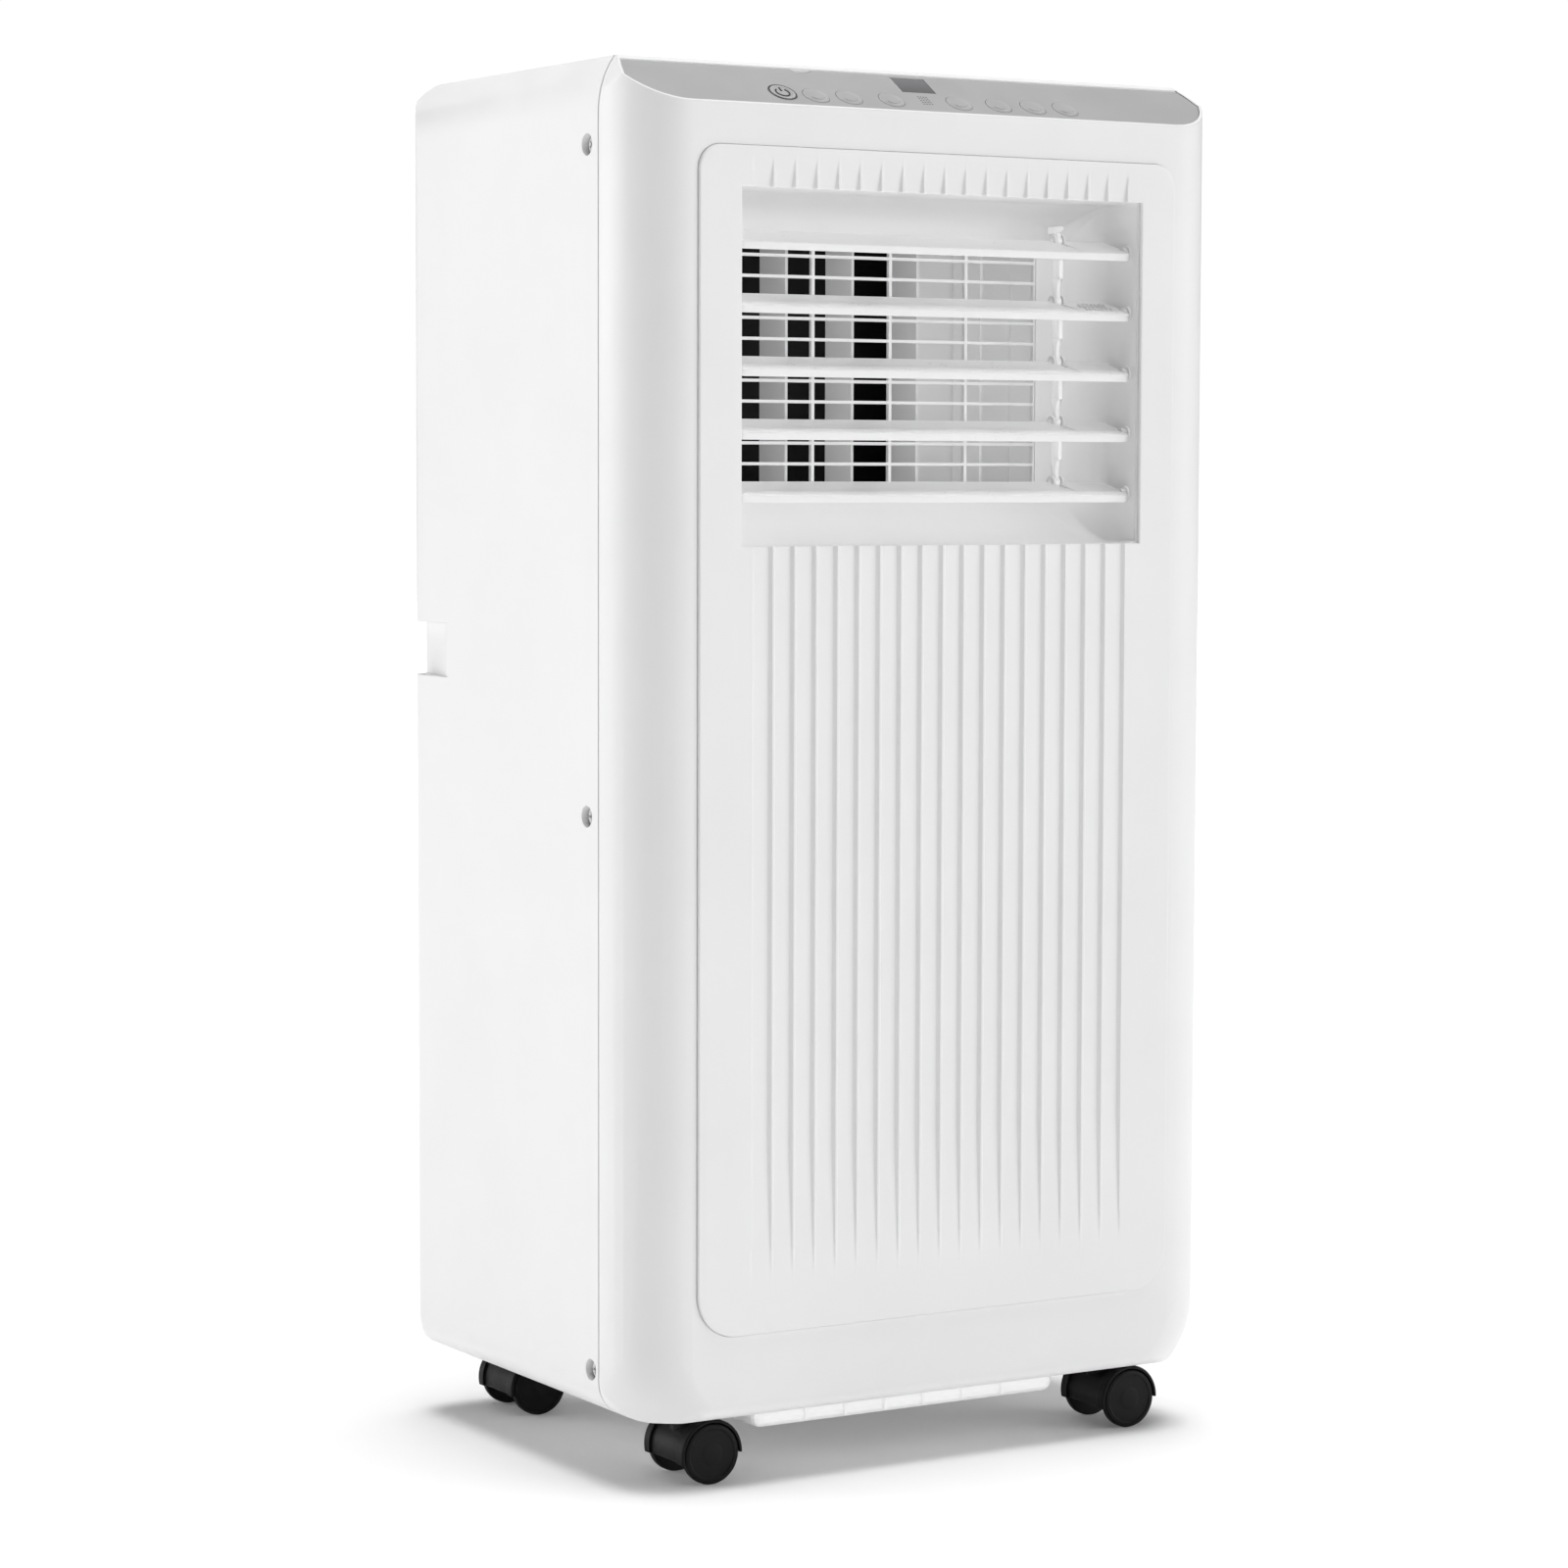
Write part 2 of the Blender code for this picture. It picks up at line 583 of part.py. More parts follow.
def make_louver_bay():
    bay_front = FRONT + PANEL_RAISE + WALL + GAP
    bay = coved_box("louver_bay", OPENING_HALF + BAY_WALL, OPENING_BOTTOM - BAY_WALL,
                    OPENING_TOP + BAY_WALL, bay_front, BAY_BACK + BAY_WALL, BAY_COVE_R + BAY_WALL)
    cut(bay, coved_box("bay_hollow", OPENING_HALF, OPENING_BOTTOM, OPENING_TOP,
                       bay_front - 0.01, BAY_BACK, BAY_COVE_R))
    holes = [box("grille_window", (-GRILLE_HALF - GAP, BAY_BACK - 0.01, GRILLE_BOTTOM - GAP),
                 (GRILLE_HALF + GAP, BAY_BACK + 0.02, GRILLE_TOP + GAP))]
    for index in range(VANE_COUNT):
        holes.append(cylinder("pivot_hole", "X", -0.14, 0.14, (VANE_AXIS_Y, vane_height(index)),
                              0.0018 + GAP, 10))
    cut(bay, holes)
    return finish(bay, WHITE)


BAR_COUNT = 12
BAR_PITCH = 0.01035
BAR_HEIGHT = 0.0016
POST_PITCH = 0.0458
POST_WIDTH = 0.0018
GRILLE_DEPTH = 0.0022


def make_outlet_grille():
    """Fixed guard: a plate pierced by a grid of windows that leaves thin bars and posts."""
    grille = box("outlet_grille", (-GRILLE_HALF, BAY_BACK, GRILLE_BOTTOM),
                 (GRILLE_HALF, BAY_BACK + GRILLE_DEPTH, GRILLE_TOP))
    bars = [OPENING_MID + (index - (BAR_COUNT - 1) / 2) * BAR_PITCH for index in range(BAR_COUNT)]
    edges = [GRILLE_BOTTOM - 0.0006] + bars + [GRILLE_TOP + 0.0006]
    posts = [-GRILLE_HALF + 0.0002, -POST_PITCH, 0.0, POST_PITCH, GRILLE_HALF - 0.0002]
    windows = []
    for left, right in zip(posts, posts[1:]):
        for low, high in zip(edges, edges[1:]):
            windows.append(box("window", (left + POST_WIDTH / 2, BAY_BACK - 0.01, low + BAR_HEIGHT / 2),
                               (right - POST_WIDTH / 2, BAY_BACK + 0.02, high - BAR_HEIGHT / 2)))
    cut(grille, windows)
    return finish(grille, WHITE)


def vane_height(index):
    """Height of a vane's axis; vane 0 is the top one."""
    return OPENING_MID + ((VANE_COUNT - 1) / 2 - index) * VANE_PITCH


def make_vane(index):
    """Louver vane, modelled level about its own axis and then tilted to its rest angle."""
    plan = rounded_outline(-VANE_HALF, VANE_HALF, -VANE_LIP, VANE_TAIL, VANE_CORNER_R, VANE_CORNER_R, 3)
    vane = extrusion(f"louver_vane_{index + 1}", plan, 0.02, Matrix.Identity(4))
    section = [(-VANE_LIP - 0.001, -0.0026), (-VANE_LIP + 0.0025, -0.0026), (-VANE_LIP + 0.0042, -0.0010),
               (VANE_TAIL + 0.001, -0.0006), (VANE_TAIL + 0.001, 0.0008), (-VANE_LIP + 0.003, 0.0014),
               (-VANE_LIP - 0.001, 0.0014)]
    section_bar = extrusion("section", section, 0.30, side_profile(0.0))
    pin = cylinder("pin", "X", -VANE_HALF - 0.0038, VANE_HALF + 0.0038, (0, 0), 0.0018, 10)
    link_x = LINK_X - OPENING_X
    lugs, holes = [], []
    for side in (-1, 1):
        x = link_x + side * 0.0028
        lugs.append(cylinder("lug", "X", x - 0.0008, x + 0.0008, (LINK_ARM, 0.0012), 0.0031, 10))
    holes.append(box("link_slot", (link_x - 0.0017, LINK_ARM - 0.0085, -0.02),
                     (link_x + 0.0017, LINK_ARM + 0.02, 0.02)))
    holes.append(cylinder("link_bore", "X", link_x - 0.01, link_x + 0.01, (LINK_ARM, 0.0012), 0.0016, 8))
    tilt = Matrix.Rotation(VANE_TILT, 4, "X")
    pieces = [vane, section_bar, pin] + lugs + holes
    place = Vector((OPENING_X, VANE_AXIS_Y, vane_height(index)))
    for piece in pieces:
        piece.data.transform(tilt)
        piece.location = place
    keep(vane, section_bar)
    join(vane, [pin] + lugs)
    cut(vane, holes)
    return finish(vane, WHITE)


def link_pin(index):
    """Centre of the link's pin in a vane at rest."""
    arm = Matrix.Rotation(VANE_TILT, 4, "X") @ Vector((0, LINK_ARM, 0.0012))
    return Vector((LINK_X, VANE_AXIS_Y, vane_height(index))) + arm


def link_plate(name, front, back, low, high):
    return box(name, (LINK_X - LINK_HALF, front, low), (LINK_X + LINK_HALF, back, high))


def make_louver_link():
    """Upright plate that ties the vanes' tails together, necked where it passes through each one."""
    top, bottom = link_pin(0), link_pin(VANE_COUNT - 1)
    link = link_plate("louver_link", top.y - 0.0013, top.y + 0.0013, bottom.z - 0.0060, top.z + 0.0040)
    pieces = [link_plate("finger_tab", top.y - 0.0040, top.y + 0.0070, top.z + 0.0034, top.z + 0.0074)]
    for index in range(VANE_COUNT):
        pin = link_pin(index)
        pieces.append(cylinder("link_pin", "X", LINK_X - 0.0037, LINK_X + 0.0037, (pin.y, pin.z),
                               0.0013, 8))
        if index < VANE_COUNT - 1:
            pieces.append(link_plate("blade", pin.y - 0.0040, pin.y + 0.0028, pin.z - 0.0218, pin.z - 0.0092))
    join(link, pieces)
    set_origin(link, link_pin(0))
    return finish(link, WHITE)


# ---------------------------------------------------------------- deflector vanes
DUCT_HALF = 0.098
DUCT_LOW, DUCT_HIGH = 0.4640, 0.6340
DUCT_FRONT = BAY_BACK + BAY_WALL + GAP
DUCT_BACK = -0.006
DUCT_WALL = 0.002
DEFLECTOR_X = [DEFLECTOR_SHIFT + (index - 1.5) * DEFLECTOR_PITCH for index in range(4)]
DEFLECTOR_LOW, DEFLECTOR_HIGH = DUCT_LOW + DUCT_WALL + 0.004, DUCT_HIGH - DUCT_WALL - 0.001
DEFLECTOR_ARM = 0.009


def make_deflector(index):
    x, y = DEFLECTOR_X[index], DEFLECTOR_AXIS_Y
    blade = box(f"deflector_vane_{index + 1}", (x - 0.0008, y - DEFLECTOR_HALF_CHORD, DEFLECTOR_LOW),
                (x + 0.0008, y + DEFLECTOR_HALF_CHORD, DEFLECTOR_HIGH))
    spindles = [cylinder("spindle", "Z", DUCT_LOW + 0.0001, DEFLECTOR_LOW + 0.003, (x, y), 0.0015, 8),
                cylinder("spindle", "Z", DEFLECTOR_HIGH - 0.003, DUCT_HIGH - 0.0001, (x, y), 0.0015, 8)]
    # crank pin that drops through the link strip under the blade
    crank = cylinder("crank_pin", "Z", DEFLECTOR_LOW - 0.0028, DEFLECTOR_LOW + 0.004,
                     (x, y + DEFLECTOR_ARM), 0.0012, 8)
    join(blade, spindles + [crank])
    set_origin(blade, (x, y, (DEFLECTOR_LOW + DEFLECTOR_HIGH) / 2))
    return finish(blade, WHITE)


def make_deflector_link():
    y = DEFLECTOR_AXIS_Y + DEFLECTOR_ARM
    low, high = DEFLECTOR_LOW - 0.0025, DEFLECTOR_LOW - 0.0005
    strip = box("deflector_link", (DEFLECTOR_X[0] - 0.005, y - 0.003, low),
                (DEFLECTOR_X[-1] + 0.005, y + 0.003, high))
    bores = [cylinder("bore", "Z", low - 0.01, high + 0.01, (x, y), 0.0015, 8) for x in DEFLECTOR_X]
    cut(strip, bores)
    set_origin(strip, (DEFLECTOR_X[0], y, (low + high) / 2))
    return finish(strip, WHITE)


def make_swing_motor():
    """Small geared motor on top of the duct that turns the first deflector."""
    x, y = DEFLECTOR_X[0], DEFLECTOR_AXIS_Y
    motor = cylinder("swing_motor", "Z", DUCT_HIGH + GAP + 0.001, DUCT_HIGH + 0.019, (x, y), 0.014, 20)
    ears = box("ears", (x - 0.021, y - 0.0035, DUCT_HIGH + GAP), (x + 0.021, y + 0.0035, DUCT_HIGH + 0.002))
    join(motor, ears)
    return finish(motor, STEEL)


# ---------------------------------------------------------------- blowers
WHEEL_WIDTH = 0.040
UPPER_WHEEL_R, LOWER_WHEEL_R = 0.056, 0.058
UPPER_WHEEL_FRONT = -0.044
LOWER_WHEEL_FRONT = -0.036
SHAFT_R = 0.004
BLADES = 14
MOTOR_LENGTH = 0.028


def make_blower_wheel(name, centre, radius, front):
    """Forward-curved wheel: back plate with hub and shaft, blades and an inlet ring."""
    back = front + WHEEL_WIDTH
    middle = (centre.x, centre.z)
    plate = cylinder(name, "Y", front, front + 0.002, middle, radius, 28)
    hub = cylinder("hub", "Y", front + 0.001, front + 0.016, middle, 0.012, 14)
    shaft = cylinder("shaft", "Y", front - 0.018, front + 0.012, middle, SHAFT_R, 12)
    ring = cylinder("ring", "Y", back - 0.003, back, middle, radius, 28)
    ring_bore = cylinder("ring_bore", "Y", back - 0.01, back + 0.01, middle, radius - 0.006, 28)
    cut(ring, ring_bore)
    blades = []
    for index in range(BLADES):
        blade = box("blade", (radius - 0.0075, -0.0006, 0), (radius - 0.0008, 0.0006, 1))
        blade.data.transform(Matrix.Diagonal((1, 1, WHEEL_WIDTH - 0.0025, 1)))
        lean = Matrix.Translation((radius - 0.004, 0, 0)) @ Matrix.Rotation(0.55, 4, "Z")
        lean = lean @ Matrix.Translation((0.004 - radius, 0, 0))
        turn = Matrix.Rotation(2 * math.pi * index / BLADES, 4, "Z")
        blade.data.transform(AXIS_TURN["Y"] @ turn @ lean)
        blade.data.transform(Matrix.Translation((centre.x, front + 0.001, centre.z)))
        blades.append(blade)
    pieces = [hub, shaft, ring] + blades
    join(plate, pieces)
    set_origin(plate, (centre.x, (front + back) / 2, centre.z))
    return finish(plate, DARK)


def make_motor(name, centre, wheel_front, radius):
    """Motor can in front of a blower housing, with a blind bearing bore for the wheel's shaft."""
    face = wheel_front - 0.0065
    middle = (centre.x, centre.z)
    can = cylinder(name, "Y", face - MOTOR_LENGTH, face, middle, radius, 20)
    ends = can.modifiers.new("Ends", "BEVEL")
    ends.width = 0.003
    ends.segments = 1
    ends.limit_method = "ANGLE"
    cut(can, cylinder("bearing", "Y", face - 0.0145, face + 0.01, middle, SHAFT_R + GAP, 12))
    return finish(can, STEEL)


HOUSING_FRONT_GAP = 0.0060          # housing's front face ahead of the wheel's plate
CHEEK_X, CHEEK_Y = 0.0235, -0.0425   # left end and middle plane of the duct's cheek


def make_upper_housing():
    """Scroll round the upper wheel with a duct that rises behind the outlet grille."""
    centre = UPPER_BLOWER
    front, back = UPPER_WHEEL_FRONT - HOUSING_FRONT_GAP, UPPER_WHEEL_FRONT + WHEEL_WIDTH + 0.005
    middle = (centre.x, centre.z)
    outer_r, inner_r = UPPER_WHEEL_R + 0.010, UPPER_WHEEL_R + 0.008
    housing = cylinder("upper_blower_housing", "Y", front, back, middle, outer_r, 28)
    duct = box("duct", (-DUCT_HALF, DUCT_FRONT, DUCT_LOW), (DUCT_HALF, DUCT_BACK, DUCT_HIGH))
    join(housing, duct)
    inner = [cylinder("scroll_hollow", "Y", front + DUCT_WALL, back - DUCT_WALL, middle, inner_r, 28),
             box("duct_hollow", (-DUCT_HALF + DUCT_WALL, DUCT_FRONT - 0.01, DUCT_LOW + DUCT_WALL),
                 (DUCT_HALF - DUCT_WALL, DUCT_BACK - DUCT_WALL, DUCT_HIGH - DUCT_WALL)),
             box("throat", (-0.045, front + DUCT_WALL, centre.z),
                 (0.045, DUCT_BACK - DUCT_WALL, DUCT_LOW + 0.01)),
             cylinder("inlet", "Y", back - 0.01, back + 0.01, middle, UPPER_WHEEL_R - 0.010, 20),
             cylinder("shaft_hole", "Y", front - 0.01, front + 0.01, middle, SHAFT_R + 0.001, 10)]
    for x in DEFLECTOR_X:
        inner.append(cylinder("spindle_hole", "Z", DUCT_LOW - 0.01, DUCT_HIGH + 0.01,
                              (x, DEFLECTOR_AXIS_Y), 0.0015 + GAP, 8))
    cut(housing, inner)
    # cheek that narrows the duct to the blowing side
    join(housing, box("cheek", (CHEEK_X, CHEEK_Y - DUCT_WALL / 2, centre.z + UPPER_WHEEL_R + 0.003),
                      (DUCT_HALF - DUCT_WALL / 2, CHEEK_Y + DUCT_WALL / 2, DUCT_HIGH - DUCT_WALL / 2)))
    return finish(housing, WHITE)


EXHAUST_BOX_HALF = 0.064
EXHAUST_BOX_LOW, EXHAUST_BOX_HIGH = 0.205, 0.331
EXHAUST_BOX_BACK = 0.1100


def make_lower_housing():
    """Scroll round the lower wheel, a chimney, and a box duct back to the exhaust collar."""
    centre = LOWER_BLOWER
    front, back = LOWER_WHEEL_FRONT - HOUSING_FRONT_GAP, LOWER_WHEEL_FRONT + WHEEL_WIDTH + 0.005
    middle = (centre.x, centre.z)
    outer_r, inner_r = LOWER_WHEEL_R + 0.010, LOWER_WHEEL_R + 0.008
    left, right = centre.x - outer_r, centre.x + outer_r
    wall = DUCT_WALL
    housing = cylinder("lower_blower_housing", "Y", front, back, middle, outer_r, 28)
    chimney = box("chimney", (left, front, centre.z), (right, back, EXHAUST_BOX_HIGH))
    duct = box("exhaust_duct", (-EXHAUST_BOX_HALF, front, EXHAUST_BOX_LOW),
               (EXHAUST_BOX_HALF, EXHAUST_BOX_BACK, EXHAUST_BOX_HIGH))
    join(housing, [chimney, duct])
    inner = [cylinder("scroll_hollow", "Y", front + wall, back - wall, middle, inner_r, 28),
             box("chimney_hollow", (left + wall, front + wall, centre.z),
                 (right - wall, back - wall, EXHAUST_BOX_HIGH - wall)),
             box("duct_hollow", (-EXHAUST_BOX_HALF + wall, front + wall, EXHAUST_BOX_LOW + wall),
                 (EXHAUST_BOX_HALF - wall, EXHAUST_BOX_BACK + 0.01, EXHAUST_BOX_HIGH - wall)),
             cylinder("inlet", "Y", back - 0.01, back + 0.01, middle, LOWER_WHEEL_R - 0.010, 20),
             cylinder("shaft_hole", "Y", front - 0.01, front + 0.01, middle, SHAFT_R + 0.001, 10)]
    cut(housing, inner)
    return finish(housing, WHITE)


# ---------------------------------------------------------------- cooling circuit
def make_coil(name, half, front, back, low, high):
    """Finned block between two end plates."""
    block = box(name, (-half, front, low), (half, back, high))
    plates = [box("end_plate", (sign * half - 0.001, front - 0.003, low - 0.003),
                  (sign * half + 0.001, back + 0.003, high + 0.003)) for sign in (-1, 1)]
    join(block, plates)
    return finish(block, ALUMINIUM)


def make_compressor():
    """Can with a domed top, feet and an accumulator bottle strapped to its side."""
    centre = (-0.088, -0.036)
    can = cylinder("compressor", "Z", 0.052, 0.172, centre, 0.046, 24)
    dome = cylinder("dome", "Z", 0.171, 0.186, centre, 0.046, 24, end_radius=0.026)
    foot = cylinder("foot", "Z", 0.0490, 0.053, centre, 0.050, 6)
    bottle = cylinder("accumulator", "Z", 0.074, 0.150, (-0.1445, 0.006), 0.014, 14)
    strap = box("strap", (-0.140, -0.014, 0.108), (-0.112, 0.004, 0.116))
    join(can, [dome, foot, bottle, strap])
    return finish(can, ENAMEL)


PIPE_R = 0.0031


def smooth_route(points, per_span=3):
    """Points on a Catmull-Rom curve through a route."""
    route = [Vector(point) for point in points]
    ends = [2 * route[0] - route[1]] + route + [2 * route[-1] - route[-2]]
    samples = []
    for a, b, c, d in zip(ends, ends[1:], ends[2:], ends[3:]):
        for step in range(per_span):
            t = step / per_span
            samples.append(0.5 * (2 * b + (c - a) * t + (2 * a - 5 * b + 4 * c - d) * t * t
                                  + (3 * b - a - 3 * c + d) * t ** 3))
    samples.append(route[-1])
    return samples


def make_pipe():
    """Copper pipe from the compressor's top, past the deck, to the upper coil."""
    points = smooth_route([(-0.088, -0.036, 0.1865), (-0.088, -0.036, 0.200), (-0.100, -0.036, 0.214),
                           (-0.130, -0.036, 0.226), (-0.146, -0.030, 0.245), (-0.150, -0.020, 0.290),
                           (-0.150, -0.012, 0.340), (-0.150, 0.000, 0.390), (-0.150, 0.020, 0.415),
                           (-0.150, 0.036, 0.420), (-0.1445, 0.045, 0.420), (-0.1373, 0.047, 0.420)])
    curve = bpy.data.curves.new("refrigerant_pipe", "CURVE")
    curve.dimensions = "3D"
    curve.bevel_depth = PIPE_R
    curve.bevel_resolution = 1
    curve.use_fill_caps = True
    spline = curve.splines.new("POLY")
    spline.points.add(len(points) - 1)
    for point, place in zip(spline.points, points):
        point.co = (*place, 1)
    pipe = bpy.data.objects.new("refrigerant_pipe", curve)
    PARTS.objects.link(pipe)
    mesh = bpy.data.meshes.new_from_object(pipe.evaluated_get(bpy.context.evaluated_depsgraph_get()))
    bpy.data.objects.remove(pipe, do_unlink=True)
    shape = bmesh.new()
    shape.from_mesh(mesh)
    bmesh.ops.remove_doubles(shape, verts=shape.verts, dist=1e-6)
    bmesh.ops.recalc_face_normals(shape, faces=shape.faces)
    return finish(from_bmesh("refrigerant_pipe", shape), COPPER)


DECK_Z = 0.3375


def make_partition_deck():
    """Tray between the cold upper chamber and the hot lower one; it also catches the drips."""
    deck = box("partition_deck", (-0.164, -0.082, DECK_Z), (0.164, 0.116, DECK_Z + 0.0025))
    lip = box("drip_lip", (-0.140, 0.016, DECK_Z + 0.001), (0.140, 0.078, DECK_Z + 0.009))
    cut(lip, box("drip_hollow", (-0.138, 0.018, DECK_Z + 0.0025), (0.138, 0.076, DECK_Z + 0.02)))
    join(deck, lip)
    cut(deck, [cylinder("pipe_hole", "Z", DECK_Z - 0.01, DECK_Z + 0.02, (-0.150, -0.012), 0.0060, 12)])
    return finish(deck, WHITE)


# ---------------------------------------------------------------- back fittings
RIM_BACK = DEPTH / 2


def slotted_panel(name, half, low, high, columns, rows, y_back, thick, slot_height):
    """Grille panel pierced by columns and rows of level slots."""
    panel = box(name, (-half, y_back - thick, low), (half, y_back, high))
    border, post = 0.007, 0.005
    pitch_x = (2 * half - 2 * border + post) / columns
    pitch_z = (high - low - 2 * border) / rows
    slots = []
    for column in range(columns):
        left = -half + border + column * pitch_x
        for row in range(rows):
            middle = low + border + (row + 0.5) * pitch_z
            slots.append(box("slot", (left, y_back - thick - 0.01, middle - slot_height / 2),
                             (left + pitch_x - post, y_back + 0.01, middle + slot_height / 2)))
    cut(panel, slots)
    return panel


INTAKE_HINGE = Vector((0, RIM_BACK, INTAKE_LOW + 2 * GAP))


def make_upper_intake_grille():
    """Filter door: hooks into the shell at its lower edge and tips out at the top."""
    low, high = INTAKE_LOW + 2 * GAP, INTAKE_HIGH - 2 * GAP
    door = slotted_panel("upper_intake_grille", INTAKE_HALF - 2 * GAP, low, high, 2, 16,
                         RIM_BACK, 0.0032, 0.0125)
    hooks = []
    for x in (-0.085, 0.085):
        hooks.append(box("hook_root", (x - 0.008, RIM_BACK - 0.0088, low),
                         (x + 0.008, RIM_BACK - 0.0030, low + 0.005)))
        hooks.append(box("hook_tongue", (x - 0.008, RIM_BACK - 0.0088, low - 0.003),
                         (x + 0.008, RIM_BACK - 0.0047, low + 0.001)))
    join(door, hooks)
    set_origin(door, INTAKE_HINGE)
    return finish(door, WHITE)


def make_filter():
    """Washable filter in the door: a frame with two cross bars and a fine mesh sheet."""
    back = RIM_BACK - 0.0036
    low, high = INTAKE_LOW + 0.010, INTAKE_HIGH - 0.008
    sheet = box("intake_filter", (-INTAKE_HALF + 0.004, back - 0.0022, low),
                (INTAKE_HALF - 0.004, back, high))
    set_origin(sheet, INTAKE_HINGE)
    return finish(sheet, FILTER)


def make_lower_intake_grille():
    panel = slotted_panel("lower_intake_grille", INTAKE_HALF - GAP, LOWER_INTAKE_LOW + GAP,
                          LOWER_INTAKE_HIGH - GAP, 2, 7, BACK_FACE, 0.0024, 0.0115)
    return finish(panel, WHITE)


def make_exhaust_collar():
    """Ring for the exhaust hose, with a guard cross inside."""
    middle = (EXHAUST.x, EXHAUST.z)
    front = EXHAUST_BOX_BACK + GAP
    ring = cylinder("exhaust_collar", "Y", front, RIM_BACK, middle, EXHAUST_R, 28)
    rim = cylinder("rim", "Y", BACK_FACE + GAP, RIM_BACK, middle, EXHAUST_R + 0.006, 28)
    bore = cylinder("bore", "Y", front - 0.01, RIM_BACK + 0.01, middle, EXHAUST_R - 0.004, 28)
    bars = []
    for index in range(-2, 3):
        offset = index * 0.021
        reach = math.sqrt((EXHAUST_R - 0.002) ** 2 - offset ** 2)
        bars.append(box("bar", (EXHAUST.x - reach, front + 0.0005, EXHAUST.z + offset - 0.0012),
                        (EXHAUST.x + reach, front + 0.0035, EXHAUST.z + offset + 0.0012)))
    join(ring, rim)
    cut(ring, bore)
    join(ring, bars)
    return finish(ring, WHITE)


def make_port_plug(name, centre, look, hollow=False):
    """Flanged plug pressed into a round port of the back wall."""
    flange = cylinder(name, "Y", BACK_FACE + GAP, RIM_BACK, centre, 0.0085, 14)
    stub = cylinder("stub", "Y", BACK_FACE - 0.010, BACK_FACE + 0.001, centre, 0.0053, 12)
    join(flange, stub)
    if hollow:
        cut(flange, cylinder("cord_bore", "Y", BACK_FACE - 0.03, RIM_BACK + 0.01, centre, 0.0032, 10))
    return finish(flange, look)


# ---------------------------------------------------------------- casters
HOOD_R = 0.0160
HOOD_HALF = 0.0145
DISC_IN, DISC_OUT = 0.0148, 0.0195
RIM_IN, RIM_OUT = WHEEL_R + 0.0005, WHEEL_R + 0.0021   # hood's rim over the discs


def make_caster(name, x, y):
    """Twin-wheel caster: a drum hood on a swivel stem, and two discs on one axle."""
    stem = Vector((x, y, CABINET_BOTTOM))
    axle = Vector((x + CASTER_TRAIL, y, WHEEL_R))
    middle = (axle.x, axle.z)
    hood = cylinder(f"caster_hood_{name}", "Y", y - HOOD_HALF, y + HOOD_HALF, middle, HOOD_R, 24)
    rim = cylinder("rim", "Y", y - DISC_OUT, y + DISC_OUT, middle, RIM_OUT, 24)
    cut(rim, [cylinder("rim_bore", "Y", y + side * 0.025 - 0.0105, y + side * 0.025 + 0.0105, middle,
                       RIM_IN, 24) for side in (-1, 1)])
    join(hood, rim)
    below = box("below", (axle.x - 0.05, y - 0.05, -0.02), (axle.x + 0.05, y + 0.05, axle.z - 0.0040))
    toe = box("toe", (axle.x + 0.009, y - 0.05, -0.02), (axle.x + 0.05, y + 0.05, axle.z - 0.0005))
    bore = cylinder("axle_bore", "Y", y - 0.05, y + 0.05, middle, 0.0022 + GAP, 10)
    cut(hood, [below, toe])
    neck = cylinder("neck", "Z", axle.z + 0.008, CABINET_BOTTOM - GAP, (x, y), 0.0080, 14)
    post = cylinder("stem", "Z", axle.z + 0.008, 0.0490, (x, y), 0.0040, 12)
    join(hood, [neck, post])
    cut(hood, bore)
    set_origin(hood, stem)
    finish(hood, BLACK)

    axle_rod = cylinder(f"caster_wheels_{name}", "Y", y - DISC_OUT + 0.001, y + DISC_OUT - 0.001,
                        middle, 0.0022, 10)
    discs = []
    for side in (-1, 1):
        near, far = sorted((y + side * DISC_IN, y + side * DISC_OUT))
        discs.append(cylinder("disc", "Y", near, far, middle, WHEEL_R, 28))
    join(axle_rod, discs)
    set_origin(axle_rod, axle)
    return finish(axle_rod, BLACK)


# ---------------------------------------------------------------- assembly
make_front_cover()
make_rear_shell()
make_base_pan()
make_cover_screws()
make_fascia()
make_button("power_button", POWER_X, POWER_S, POWER_R)
for number, button_x in enumerate(BUTTON_X, start=1):
    make_button(f"control_button_{number}", button_x, BUTTON_S, BUTTON_R)
make_display()
make_control_board()
make_louver_bay()
make_outlet_grille()
for number in range(VANE_COUNT):
    make_vane(number)
make_louver_link()
for number in range(len(DEFLECTOR_X)):
    make_deflector(number)
make_deflector_link()
make_swing_motor()
make_upper_housing()
make_blower_wheel("upper_blower_wheel", UPPER_BLOWER, UPPER_WHEEL_R, UPPER_WHEEL_FRONT)
make_motor("upper_blower_motor", UPPER_BLOWER, UPPER_WHEEL_FRONT, 0.032)
make_lower_housing()
make_blower_wheel("lower_blower_wheel", LOWER_BLOWER, LOWER_WHEEL_R, LOWER_WHEEL_FRONT)
make_motor("lower_blower_motor", LOWER_BLOWER, LOWER_WHEEL_FRONT, 0.030)
make_coil("evaporator", 0.134, 0.030, 0.062, 0.352, 0.640)
make_coil("condenser", 0.134, 0.054, 0.086, 0.066, 0.196)
make_compressor()
make_pipe()
make_partition_deck()
make_upper_intake_grille()
make_filter()
make_lower_intake_grille()
make_exhaust_collar()
make_port_plug("upper_drain_plug", UPPER_DRAIN, RUBBER)
make_port_plug("lower_drain_plug", LOWER_DRAIN, RUBBER)
make_port_plug("cord_gland", CORD_GLAND, RUBBER, hollow=True)
for hand, x_sign in (("left", -1), ("right", 1)):
    for end, y_sign in (("front", -1), ("rear", 1)):
        make_caster(f"{end}_{hand}", x_sign * CASTER_X, y_sign * CASTER_Y)
